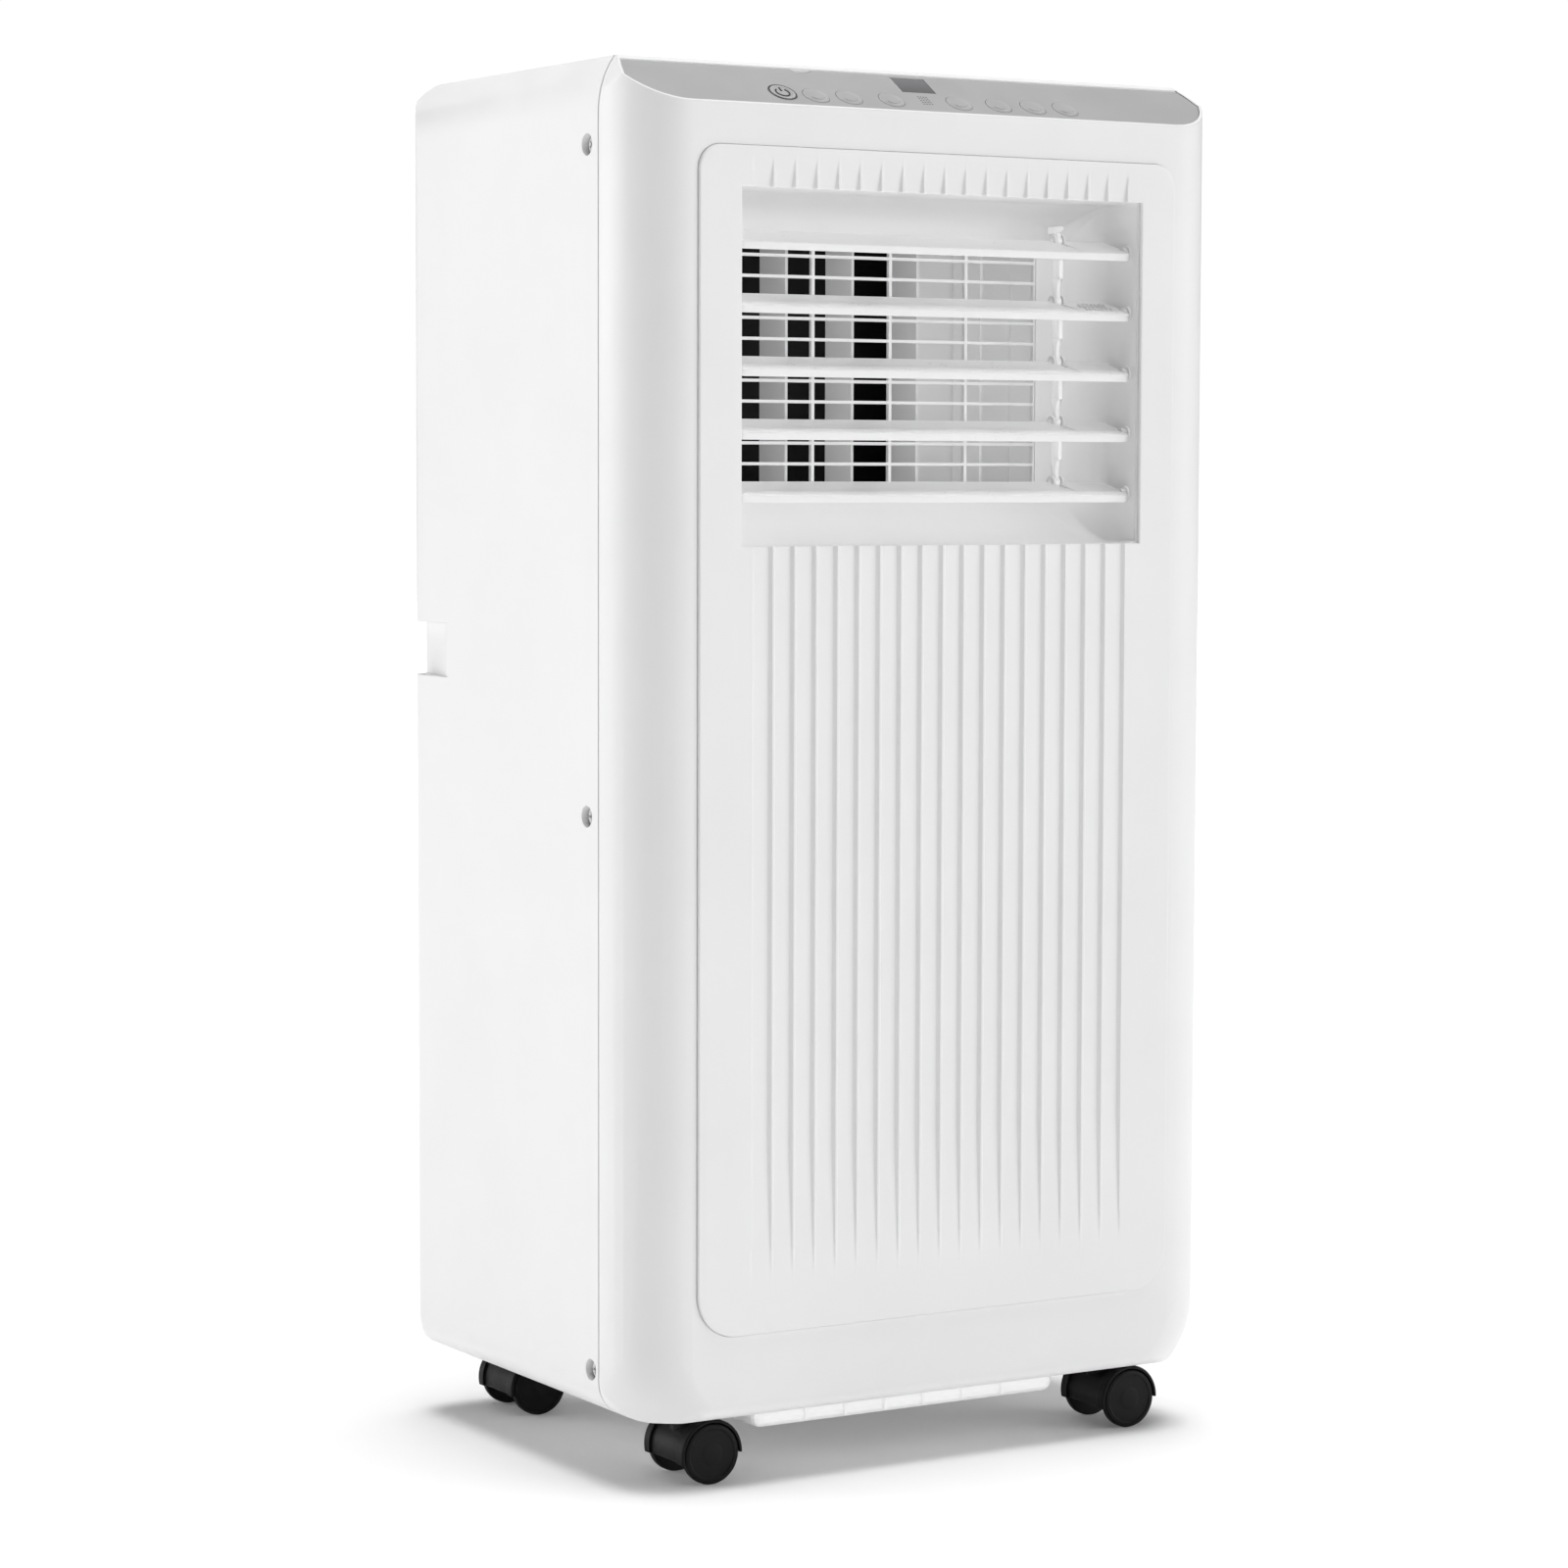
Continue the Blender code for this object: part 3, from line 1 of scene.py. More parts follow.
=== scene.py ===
"""Looks of the portable air conditioner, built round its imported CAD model.

Metres, +Z up, the front faces -Y: the same frame as the CAD.
"""
import math

import bmesh
import bpy
from mathutils import Matrix, Vector


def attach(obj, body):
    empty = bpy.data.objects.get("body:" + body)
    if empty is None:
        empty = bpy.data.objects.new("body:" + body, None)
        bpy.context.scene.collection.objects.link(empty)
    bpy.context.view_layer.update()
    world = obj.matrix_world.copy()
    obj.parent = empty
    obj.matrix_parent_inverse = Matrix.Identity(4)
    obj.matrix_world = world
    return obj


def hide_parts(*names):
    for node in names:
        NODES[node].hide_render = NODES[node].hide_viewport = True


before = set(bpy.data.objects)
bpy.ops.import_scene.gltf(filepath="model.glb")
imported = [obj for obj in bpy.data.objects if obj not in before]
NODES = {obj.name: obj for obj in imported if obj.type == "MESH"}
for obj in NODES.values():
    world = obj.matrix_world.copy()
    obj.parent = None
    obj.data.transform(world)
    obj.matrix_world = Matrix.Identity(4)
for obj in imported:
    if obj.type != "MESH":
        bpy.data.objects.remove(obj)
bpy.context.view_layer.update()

# ---------- dimensions, as in the CAD but for rounder lower side edges
WIDTH, DEPTH, HEIGHT = 0.349, 0.2566, 0.700
HALF, FRONT = WIDTH / 2, -DEPTH / 2
CABINET_BOTTOM = 0.035
WALL, GAP = 0.0024, 0.0003
PANEL_RAISE = 0.0015
COVER_FACE = FRONT + PANEL_RAISE
BACK_FACE = DEPTH / 2 - 0.0018
SEAM_Y = FRONT + 0.0385
RADII = {
    ("front", "side"): 0.034, ("back", "side"): 0.020, ("side", "top"): 0.040, ("back", "top"): 0.0,
    ("front", "top"): 0.0, ("bottom", "side"): 0.018, ("back", "bottom"): 0.008, ("bottom", "front"): 0.008,
}
TOP_OVERRUN, TOP_BACK_R = 0.012, 0.030
FLARE_RISE, FLARE_POWER, FRONT_FLARE, REAR_FLARE = 0.036, 2.4, 0.024, 0.013
BEYOND = 0.3                         # clear of the cabinet on every side
SLOPE_Z, SLOPE_RUN = 0.6768, 0.0355
SLOPE_ANGLE = math.atan2(HEIGHT - SLOPE_Z, SLOPE_RUN)
SLOPE_LENGTH = math.hypot(HEIGHT - SLOPE_Z, SLOPE_RUN)
SLOPE = Matrix.Translation((0, COVER_FACE, SLOPE_Z)) @ Matrix.Rotation(SLOPE_ANGLE, 4, "X")
FASCIA_RIM, FASCIA_SINK, FASCIA_THICK = 0.0018, 0.0005, 0.0020
FASCIA_BACK = COVER_FACE + SLOPE_RUN - 0.0030
PANEL_HALF, PANEL_BOTTOM, PANEL_TOP = 0.1402, 0.0768, 0.6568
PANEL_BOTTOM_R, PANEL_TOP_R = 0.022, 0.012
OPENING_X, OPENING_HALF, OPENING_BOTTOM, OPENING_TOP = 0.0015, 0.118, 0.464, 0.637
OPENING_MID = (OPENING_BOTTOM + OPENING_TOP) / 2
BAY_WALL, BAY_COVE_R = 0.0022, 0.023
BAY_BACK = FRONT + 0.0505
GRILLE_HALF, GRILLE_BOTTOM, GRILLE_TOP = 0.0885, 0.487, 0.614
VANE_COUNT, VANE_PITCH, VANE_HALF, VANE_CORNER_R = 5, 0.0307, 0.116, 0.0035
VANE_TILT = math.radians(17)
VANE_AXIS_Y, VANE_LIP, VANE_TAIL = FRONT + 0.0125, 0.007, 0.019
LINK_X, LINK_HALF, LINK_ARM, LINK_RISE, LINK_SLOT_HALF = 0.0865, 0.0012, 0.0165, 0.0012, 0.0017
SCREW_PLACES = {"top": (SEAM_Y + 0.0115, 0.6576), "middle": (SEAM_Y + 0.0122, 0.3314),
                "bottom": (SEAM_Y + 0.0083, 0.0580)}
GRIP_LOW, GRIP_HIGH, GRIP_FRONT, GRIP_DEPTH = 0.3932, 0.4212, 0.0740, 0.013
POWER_X, POWER_S, POWER_R = -0.0862, 0.0139, 0.0075
BUTTON_X = (-0.0679, -0.0488, -0.0241, 0.0157, 0.0394, 0.0601, 0.0798)
BUTTON_S, BUTTON_R, BUTTON_GAP = 0.0124, 0.0070, 0.00012
CAP_TOP = 0.0003 - FASCIA_SINK       # height of a button's top over the slope
DISPLAY_X, DISPLAY_S, DISPLAY_WIDTH, DISPLAY_HEIGHT = -0.0030, 0.0289, 0.0200, 0.0145
EXHAUST, EXHAUST_R = (0.0, 0.268), 0.062
RIM_BACK = DEPTH / 2
CASTER_TRAIL, WHEEL_R = 0.0045, 0.0153
HOOD_R, HOOD_HALF, DISC_IN, DISC_OUT = 0.0160, 0.0145, 0.0148, 0.0195
RIM_IN, RIM_OUT = WHEEL_R + 0.0005, WHEEL_R + 0.0021
CASTER_X, CASTER_Y, AXLE_R, AXLE_HOLE_R = 0.1265, 0.0911, 0.0022, 0.0025
CHEEK_LEFT, CHEEK_RIGHT, CHEEK_FRONT, CHEEK_TOP = 0.0235, 0.0955, -0.0435, 0.6315
PAN_HOLE_HALF = 0.1423
PORTS = {"upper_drain_plug": (0.118, 0.352), "lower_drain_plug": (0.142, 0.077),
         "cord_gland": (-0.118, 0.225)}
INTAKES = ((0.378, 0.660), (0.070, 0.196))   # lower and upper edge of each hole in the back
INTAKE_HALF, PORT_HOLE_R = 0.126, 0.0056
THROUGH_BACK = (0.05, 0.2)           # y reach of the cutters for the holes in the back
TINY = 1e-7                          # points closer than this are merged
AXIS_R = 1e-6                        # radius that stands for a point on a lathe's axis


# ---------- procedural materials
class Graph:
    """Short names for building one material's node tree."""

    def __init__(self, name):
        self.material = bpy.data.materials.new(name)
        self.material.use_nodes = True
        self.nodes, self.links = self.material.node_tree.nodes, self.material.node_tree.links
        self.shader = self.nodes["Principled BSDF"]
        self.coords = self.nodes.new("ShaderNodeTexCoord").outputs["Object"]

    def plug(self, socket, value):
        if isinstance(value, bpy.types.NodeSocket):
            self.links.new(value, socket)
        else:
            socket.default_value = value

    def drive(self, name, value):
        """Set or link an input of the material's shader."""
        self.plug(self.shader.inputs[name], value)

    def node(self, kind, **values):
        """New node with inputs set or linked; an underscore stands for the space in an input's name."""
        made = self.nodes.new("ShaderNode" + kind)
        for name, value in values.items():
            self.plug(made.inputs[name.replace("_", " ")], value)
        return made

    def axes(self):
        return self.node("SeparateXYZ", Vector=self.coords).outputs

    def noise(self, scale, detail=2.0, stretch=(1, 1, 1)):
        source = self.coords
        if stretch != (1, 1, 1):
            source = self.node("Mapping", Scale=stretch, Vector=source).outputs["Vector"]
        return self.node("TexNoise", Vector=source, Scale=scale, Detail=detail).outputs["Fac"]

    def cells(self, scale):
        return self.node("TexVoronoi", Vector=self.coords, Scale=scale).outputs["Distance"]

    def remap(self, value, low, high, to_low=0.0, to_high=1.0):
        return self.node("MapRange", Value=value, From_Min=low, From_Max=high, To_Min=to_low,
                         To_Max=to_high).outputs["Result"]

    def maths(self, operation, first, second=0.0):
        made = self.node("Math")
        made.operation = operation
        self.plug(made.inputs[0], first)
        self.plug(made.inputs[1], second)
        return made.outputs["Value"]

    def mix(self, factor, first, second):
        made = self.node("Mix")
        made.data_type = "RGBA"
        self.plug(made.inputs["Factor"], factor)
        for socket, colour in ((made.inputs[6], first), (made.inputs[7], second)):
            self.plug(socket, colour if isinstance(colour, bpy.types.NodeSocket) else (*colour, 1))
        return made.outputs[2]

    def rounded(self, radius):
        """Normal with sharp edges rounded off, and a mask that is 1 on those edges."""
        bevel = self.node("Bevel", Radius=radius)
        bevel.samples = 4
        geometry = self.node("NewGeometry")
        dot = self.node("VectorMath")
        dot.operation = "DOT_PRODUCT"
        self.links.new(bevel.outputs["Normal"], dot.inputs[0])
        self.links.new(geometry.outputs["Normal"], dot.inputs[1])
        return bevel.outputs["Normal"], self.remap(dot.outputs["Value"], 0.995, 0.85)

    def bump(self, height, distance, normal=None):
        made = self.node("Bump", Distance=distance, Strength=1.0, Height=height)
        if normal is not None:
            self.links.new(normal, made.inputs["Normal"])
        return made.outputs["Normal"]


def shade(colour, factor):
    return tuple(min(channel * factor, 1.0) for channel in colour)


def plastic(name, colour, roughness, tone=0.012, grain=0.00002, grain_scale=2200.0, edge=0.0006,
            edge_shade=1.0, specular=0.5):
    """Moulded plastic: spark-eroded grain, faint flow marks, handling smudges and softened edges."""
    graph = Graph(name)
    flow = graph.noise(14.0, 3.0)
    smudge = graph.noise(55.0, 4.0, (1.0, 1.0, 0.35))
    grain_height = graph.maths("ADD", graph.noise(grain_scale, 2.0), graph.cells(grain_scale * 0.7))
    normal, on_edge = graph.rounded(edge)
    body = graph.mix(graph.remap(flow, 0.3, 0.7), shade(colour, 1 - tone), shade(colour, 1 + tone))
    body = graph.mix(on_edge, body, shade(colour, edge_shade))
    graph.drive("Base Color", body)
    rough = graph.maths("ADD", graph.remap(smudge, 0.35, 0.7, roughness - 0.05, roughness + 0.06),
                        graph.remap(graph.noise(grain_scale / 3, 1.0), 0.3, 0.7, -0.02, 0.02))
    graph.drive("Roughness", rough)
    graph.drive("Normal", graph.bump(grain_height, grain, normal))
    graph.drive("Specular IOR Level", specular)
    return graph.material


def metal(name, colour, roughness, stretch=(1, 1, 1), grain=0.00001, edge=0.0004):
    """Bare metal with a directional grain and duller patches."""
    graph = Graph(name)
    lines = graph.noise(900.0, 3.0, stretch)
    dull = graph.noise(60.0, 4.0)
    normal, on_edge = graph.rounded(edge)
    body = graph.mix(graph.remap(dull, 0.3, 0.7), shade(colour, 0.86), colour)
    graph.drive("Base Color", graph.mix(on_edge, body, shade(colour, 1.15)))
    graph.drive("Metallic", 1.0)
    graph.drive("Roughness", graph.remap(lines, 0.3, 0.7, roughness - 0.08, roughness + 0.10))
    graph.drive("Normal", graph.bump(lines, grain, normal))
    return graph.material


def mesh_weave(name, colour, pitch):
    """Fine square filter mesh: threads both ways, with painted shade in the openings between them."""
    graph = Graph(name)
    axes = graph.axes()
    threads = []
    for axis in ("X", "Z"):
        wave = graph.maths("SINE", graph.maths("MULTIPLY", axes[axis], 2 * math.pi / pitch))
        threads.append(graph.maths("ABSOLUTE", wave))
    height = graph.maths("MAXIMUM", *threads)
    # painted shade: the openings between the threads drop to a quarter of the colour
    body = graph.mix(graph.remap(height, 0.55, 0.95), shade(colour, 0.25), colour)
    dust = graph.remap(graph.noise(35.0, 4.0), 0.45, 0.75, 0.0, 0.35)
    graph.drive("Base Color", graph.mix(dust, body, (0.36, 0.35, 0.33)))
    graph.drive("Roughness", graph.remap(graph.noise(700.0), 0.3, 0.7, 0.75, 0.92))
    graph.drive("Normal", graph.bump(height, 0.0002))
    return graph.material


def fins(name, colour, pitch):
    """Stack of thin fins seen edge on, with painted shade in the gaps between them."""
    graph = Graph(name)
    wave = graph.maths("SINE", graph.maths("MULTIPLY", graph.axes()["X"], 2 * math.pi / pitch))
    edge_on = graph.remap(wave, -0.2, 0.9)
    # painted shade: between the fin edges the colour drops to 12 percent, for the shade in the gaps
    graph.drive("Base Color", graph.mix(edge_on, shade(colour, 0.12), colour))
    graph.drive("Metallic", 1.0)
    graph.drive("Roughness", graph.remap(graph.noise(220.0), 0.3, 0.7, 0.32, 0.55))
    graph.drive("Normal", graph.bump(wave, 0.0004))
    return graph.material


def smoked_window(name):
    """Tinted window: lighter towards its rear edge, where the room reflects in it."""
    graph = Graph(name)
    rear = graph.remap(graph.axes()["Y"], -0.1105, -0.0955)
    speck = graph.remap(graph.noise(900.0, 3.0), 0.4, 0.7, 0.0, 0.12)
    base = graph.mix(rear, (0.13, 0.13, 0.135), (0.24, 0.24, 0.25))
    graph.drive("Base Color", graph.mix(speck, base, (0.3, 0.3, 0.3)))
    graph.drive("Roughness", graph.remap(graph.noise(60.0, 4.0), 0.3, 0.7, 0.10, 0.22))
    graph.drive("Coat Weight", 0.4)
    graph.drive("Coat Roughness", 0.06)
    return graph.material


WHITE = plastic("white_moulding", (0.86, 0.86, 0.862), 0.40, edge_shade=0.90)
VANE_WHITE = plastic("white_vane", (0.88, 0.88, 0.882), 0.34, grain=0.00001, edge_shade=0.96)
BAY_WHITE = plastic("white_bay", (0.88, 0.88, 0.882), 0.46, tone=0.012, edge_shade=0.86)
DUCT_GREY = plastic("duct_grey", (0.74, 0.74, 0.743), 0.50, tone=0.02, edge=0.0003, edge_shade=0.72)
SCROLL_DARK = plastic("scroll_inside", (0.020, 0.020, 0.021), 0.70, tone=0.06, edge=0.0004, edge_shade=1.3,
                      specular=0.2)
GREY = plastic("grey_fascia", (0.400, 0.400, 0.403), 0.40, tone=0.015, grain=0.00001, edge=0.0003,
               edge_shade=0.96)
# light grey for the ring and bar marks, and for the painted highlights on the buttons
GREY_LIGHT = plastic("light_grey_marks_and_highlights", (0.50, 0.50, 0.503), 0.34, tone=0.01, grain=0.000006, edge=0.0002,
                     edge_shade=0.96)
# near black for the power symbol and the sensor dots, and for the painted shadow of the gap round the power
# button's edge
DARK_MARKS_AND_SHADE = plastic("dark_marks_and_gap_shadow", (0.03, 0.03, 0.031), 0.50, grain=0.000004, edge=0.0001, edge_shade=1.0,
                    specular=0.3)
BLACK = plastic("black_nylon", (0.0050, 0.0050, 0.0053), 0.50, tone=0.12, grain=0.00002, grain_scale=1600.0,
                edge_shade=1.6, specular=0.15)
FAN_BLACK = plastic("fan_black", (0.022, 0.022, 0.024), 0.50, tone=0.10, edge_shade=1.5)
BOARD_GREEN = plastic("circuit_green", (0.03, 0.16, 0.07), 0.38, tone=0.15, grain=0.00004, grain_scale=900.0)
ENAMEL = plastic("black_enamel", (0.02, 0.02, 0.02), 0.24, tone=0.10, grain=0.00004, grain_scale=500.0)
RUBBER = plastic("soft_rubber", (0.045, 0.045, 0.047), 0.78, tone=0.10, grain=0.00005, edge_shade=1.4,
                 specular=0.3)
STEEL = metal("plated_steel", (0.62, 0.62, 0.63), 0.32, (1.0, 8.0, 1.0))
SCREW_WHITE = plastic("coated_screw", (0.72, 0.72, 0.725), 0.28, tone=0.04, grain=0.00002, edge=0.0002,
                      edge_shade=0.42)
COPPER = metal("drawn_copper", (0.80, 0.42, 0.26), 0.26, (1.0, 1.0, 6.0))
FINS = fins("aluminium_fins", (0.80, 0.81, 0.82), 0.0016)
FILTER = mesh_weave("filter_weave", (0.22, 0.24, 0.25), 0.0016)
WINDOW = smoked_window("smoked_window")


# ---------- mesh helpers
def add_object(name, shape):
    mesh = bpy.data.meshes.new(name)
    shape.to_mesh(mesh)
    shape.free()
    made = bpy.data.objects.new(name, mesh)
    bpy.context.scene.collection.objects.link(made)
    return made


def dress(obj, look, body, stands_for=(), smooth_angle=38, weigh=True):
    """Finish a piece: material, smooth shading, its body and the CAD nodes it stands for."""
    obj.data.materials.clear()
    obj.data.materials.append(look)
    obj.data.shade_smooth()
    obj.data.set_sharp_from_angle(angle=math.radians(smooth_angle))
    if weigh:
        even = obj.modifiers.new("Weighted normals", "WEIGHTED_NORMAL")
        even.keep_sharp = True
        even.weight = 60
    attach(obj, body)
    if stands_for:
        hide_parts(*stands_for)


def box(name, low, high, radius=0.0, segments=3):
    """Box between two corners, its edges rounded."""
    low, high = Vector(low), Vector(high)
    shape = bmesh.new()
    bmesh.ops.create_cube(shape, size=1.0)
    bmesh.ops.scale(shape, vec=high - low, verts=shape.verts)
    bmesh.ops.translate(shape, vec=(low + high) / 2, verts=shape.verts)
    if radius:
        bmesh.ops.bevel(shape, geom=shape.edges[:], offset=radius, segments=segments, profile=0.5,
                        affect="EDGES")
    return add_object(name, shape)


def skin(shape, loops, closed=False):
    """Faces between successive loops of points; the ends are capped, or joined when closed."""
    rings = [[shape.verts.new(point) for point in loop] for loop in loops]
    pairs = list(zip(rings, rings[1:]))
    if closed:
        pairs.append((rings[-1], rings[0]))
    for near, far in pairs:
        for index, corner in enumerate(near):
            after = (index + 1) % len(near)
            shape.faces.new([corner, near[after], far[after], far[index]])
    if not closed:
        shape.faces.new(rings[0][::-1])
        shape.faces.new(rings[-1])


def lofted(name, loops, closed=False):
    shape = bmesh.new()
    skin(shape, loops, closed)
    bmesh.ops.remove_doubles(shape, verts=shape.verts, dist=TINY)
    bmesh.ops.dissolve_degenerate(shape, edges=shape.edges, dist=TINY)
    bmesh.ops.recalc_face_normals(shape, faces=shape.faces)
    return add_object(name, shape)


TURNS = {
    "X": Matrix(((0, 0, 1, 0), (1, 0, 0, 0), (0, 1, 0, 0), (0, 0, 0, 1))),
    "Y": Matrix(((1, 0, 0, 0), (0, 0, 1, 0), (0, -1, 0, 0), (0, 0, 0, 1))),
    "Z": Matrix.Identity(4),
}


def lathe(name, axis, centre, profile, steps=48):
    """Profile of (radius, height) pairs turned round an axis; heights run along it in world metres."""
    offset = Vector(centre)
    offset["XYZ".index(axis)] = 0
    first, last = profile[0], profile[-1]
    closed = abs(first[0] - last[0]) < 1e-9 and abs(first[1] - last[1]) < 1e-9
    loops = []
    for radius, height in profile[:-1] if closed else profile:
        radius = max(radius, AXIS_R)
        loop = []
        for step in range(steps):
            angle = 2 * math.pi * step / steps
            point = TURNS[axis] @ Vector((radius * math.cos(angle), radius * math.sin(angle), height))
            loop.append(point + offset)
        loops.append(loop)
    return lofted(name, loops, closed)


def cylinder(name, axis, centre, radius, low, high, steps):
    return lathe(name, axis, centre, [(0, low), (radius, low), (radius, high), (0, high)], steps)


def rounded_disc(radius, low, high, fillet):
    """Profile of a disc from its low face to its high one, with filleted rims."""
    rims = arc((radius - fillet, low + fillet), fillet, -90, 0, 4)
    rims += arc((radius - fillet, high - fillet), fillet, 0, 90, 4)
    return [(0.0, low)] + rims + [(0.0, high)]


def prism(name, outline, axis, low, high, bevel=0.0):
    """Outline extruded along X, Y or Z between two heights, its rims rounded."""
    place = {"X": lambda a, b, h: (h, a, b), "Y": lambda a, b, h: (a, h, b),
             "Z": lambda a, b, h: (a, b, h)}[axis]
    shape = bmesh.new()
    skin(shape, [[place(a, b, height) for a, b in outline] for height in (low, high)])
    if bevel:
        shape.faces.ensure_lookup_table()
        rims = list({edge for cap in shape.faces[-2:] for edge in cap.edges})
        bmesh.ops.bevel(shape, geom=rims, offset=bevel, segments=2, profile=0.5, affect="EDGES")
    bmesh.ops.recalc_face_normals(shape, faces=shape.faces)
    return add_object(name, shape)


def merged(name, objects):
    """One object from several; the parts keep their own closed bodies."""
    shape = bmesh.new()
    for obj in objects:
        shape.from_mesh(obj.data)
        bpy.data.objects.remove(obj, do_unlink=True)
    return add_object(name, shape)


def settle(obj):
    """Apply an object's modifiers to its mesh."""
    bpy.context.view_layer.update()
    graph = bpy.context.evaluated_depsgraph_get()
    mesh = bpy.data.meshes.new_from_object(obj.evaluated_get(graph), depsgraph=graph)
    obj.modifiers.clear()
    obj.data = mesh


def combine(obj, others, operation):
    """Exact Boolean with a group of objects, which are used up."""
    others = list(others) if isinstance(others, (list, tuple)) else [others]
    change = obj.modifiers.new("Combine", "BOOLEAN")
    change.operation = operation
    change.solver = "EXACT"
    group = None
    if len(others) == 1:
        change.object = others[0]
    else:
        group = bpy.data.collections.new("operands")
        for other in others:
            group.objects.link(other)
        change.operand_type = "COLLECTION"
        change.collection = group
    settle(obj)
    for other in others:
        bpy.data.objects.remove(other, do_unlink=True)
    if group:
        bpy.data.collections.remove(group)
    return obj


def cut(obj, others):
    return combine(obj, others, "DIFFERENCE")


def join(obj, others):
    return combine(obj, others, "UNION")


def keep(obj, other):
    return combine(obj, other, "INTERSECT")


def arc(centre, radius, start, end, steps):
    """Points on an arc between two angles in degrees."""
    angles = [math.radians(start + (end - start) * step / steps) for step in range(steps + 1)]
    return [(centre[0] + radius * math.cos(angle), centre[1] + radius * math.sin(angle))
            for angle in angles]


def rounded_rectangle(left, right, low, high, low_r, high_r, steps, grow=0.0):
    """Outline anticlockwise from its lower left corner, grown all round."""
    corners = ((left + low_r, low + low_r, low_r, 180), (right - low_r, low + low_r, low_r, 270),
               (right - high_r, high - high_r, high_r, 0), (left + high_r, high - high_r, high_r, 90))
    points = []
    for x, y, radius, start in corners:
        points += arc((x, y), radius + grow, start, start + 90, steps)
    return points


# ---------- cabinet
CABINET_STEPS = 10


def flared_block(name, inset):
    """Tall block that only trims the cabinet's upright corners, more and more towards the floor."""
    clear = 0.0002 - inset
    levels = [(HEIGHT + 2 * TOP_OVERRUN, -0.1)]
    for step in range(CABINET_STEPS + 1):
        share = step / CABINET_STEPS
        levels.append((CABINET_BOTTOM + FLARE_RISE * (1 - share), share ** FLARE_POWER))
    levels.append((0.0, 1.0))
    loops = []
    for z, growth in levels:
        front = RADII[("front", "side")] - inset + growth * FRONT_FLARE
        rear = RADII[("back", "side")] - inset + growth * REAR_FLARE
        points = rounded_rectangle(-HALF - clear, HALF + clear, COVER_FACE - clear, BACK_FACE + clear,
                                   front, rear, CABINET_STEPS)
        loops.append([(x, y, z) for x, y in points])
    return lofted(name, loops)


def cabinet(name, inset):
    """The cabinet's rounded block, shrunk all round by inset."""
    low = Vector((-HALF + inset, COVER_FACE + inset, CABINET_BOTTOM + inset))
    high = Vector((HALF - inset, BACK_FACE - inset, HEIGHT + TOP_OVERRUN - inset))
    block = box(name, low, high)
    largest = max(RADII.values()) - inset
    shape = bmesh.new()
    shape.from_mesh(block.data)
    weight = shape.edges.layers.float.new("bevel_weight_edge")
    for edge in shape.edges:
        middle = (edge.verts[0].co + edge.verts[1].co) / 2
        away = {"back": middle.y - high.y, "bottom": middle.z - low.z, "front": middle.y - low.y,
                "side": abs(middle.x) - high.x, "top": middle.z - high.z}
        faces = tuple(face for face, distance in away.items() if abs(distance) < 1e-6)
        edge[weight] = max(RADII[faces] - inset, 0.0) / largest
    shape.to_mesh(block.data)
    shape.free()
    rounding = block.modifiers.new("Rounding", "BEVEL")
    rounding.limit_method = "WEIGHT"
    rounding.width = largest
    rounding.segments = CABINET_STEPS
    rounding.use_clamp_overlap = False
    settle(block)
    # flat top that rolls over into the back
    roll = arc((BACK_FACE - TOP_BACK_R, HEIGHT - TOP_BACK_R), TOP_BACK_R - inset, 90, 0, CABINET_STEPS)
    limit = [(-BEYOND, 0.0), (-BEYOND, HEIGHT - inset)] + roll
    limit += [(BEYOND, HEIGHT - TOP_BACK_R), (BEYOND, 0.0)]
    keep(block, prism("limit", limit, "X", -BEYOND, BEYOND))
    return keep(block, flared_block("corners", inset))


def slope_slab(name, low, high):
    slab = box(name, (-0.20, -0.05, low), (0.20, SLOPE_LENGTH + 0.05, high))
    slab.data.transform(SLOPE)
    return slab


SEAM_GROOVE = 0.00030


def seam_groove():
    """Shallow ring round the joint, cut from both shells."""
    ring = box("seam_ring", (-1, SEAM_Y - SEAM_GROOVE, -1), (1, SEAM_Y + GAP + SEAM_GROOVE, 2))
    return cut(ring, cabinet("seam_core", SEAM_GROOVE))


def side_cylinder(side, near, far, centre, radius):
    low, high = sorted((side * (HALF - near), side * (HALF - far)))
    return cylinder("side_cylinder", "X", (0, *centre), radius, low, high, 32)


PANEL_GROOVE = 0.00024


def panel_outline(grow):
    """Outline of the raised panel in x and z, grown all round."""
    return rounded_rectangle(-PANEL_HALF, PANEL_HALF, PANEL_BOTTOM, PANEL_TOP, PANEL_BOTTOM_R,
                             PANEL_TOP_R, 16, grow)


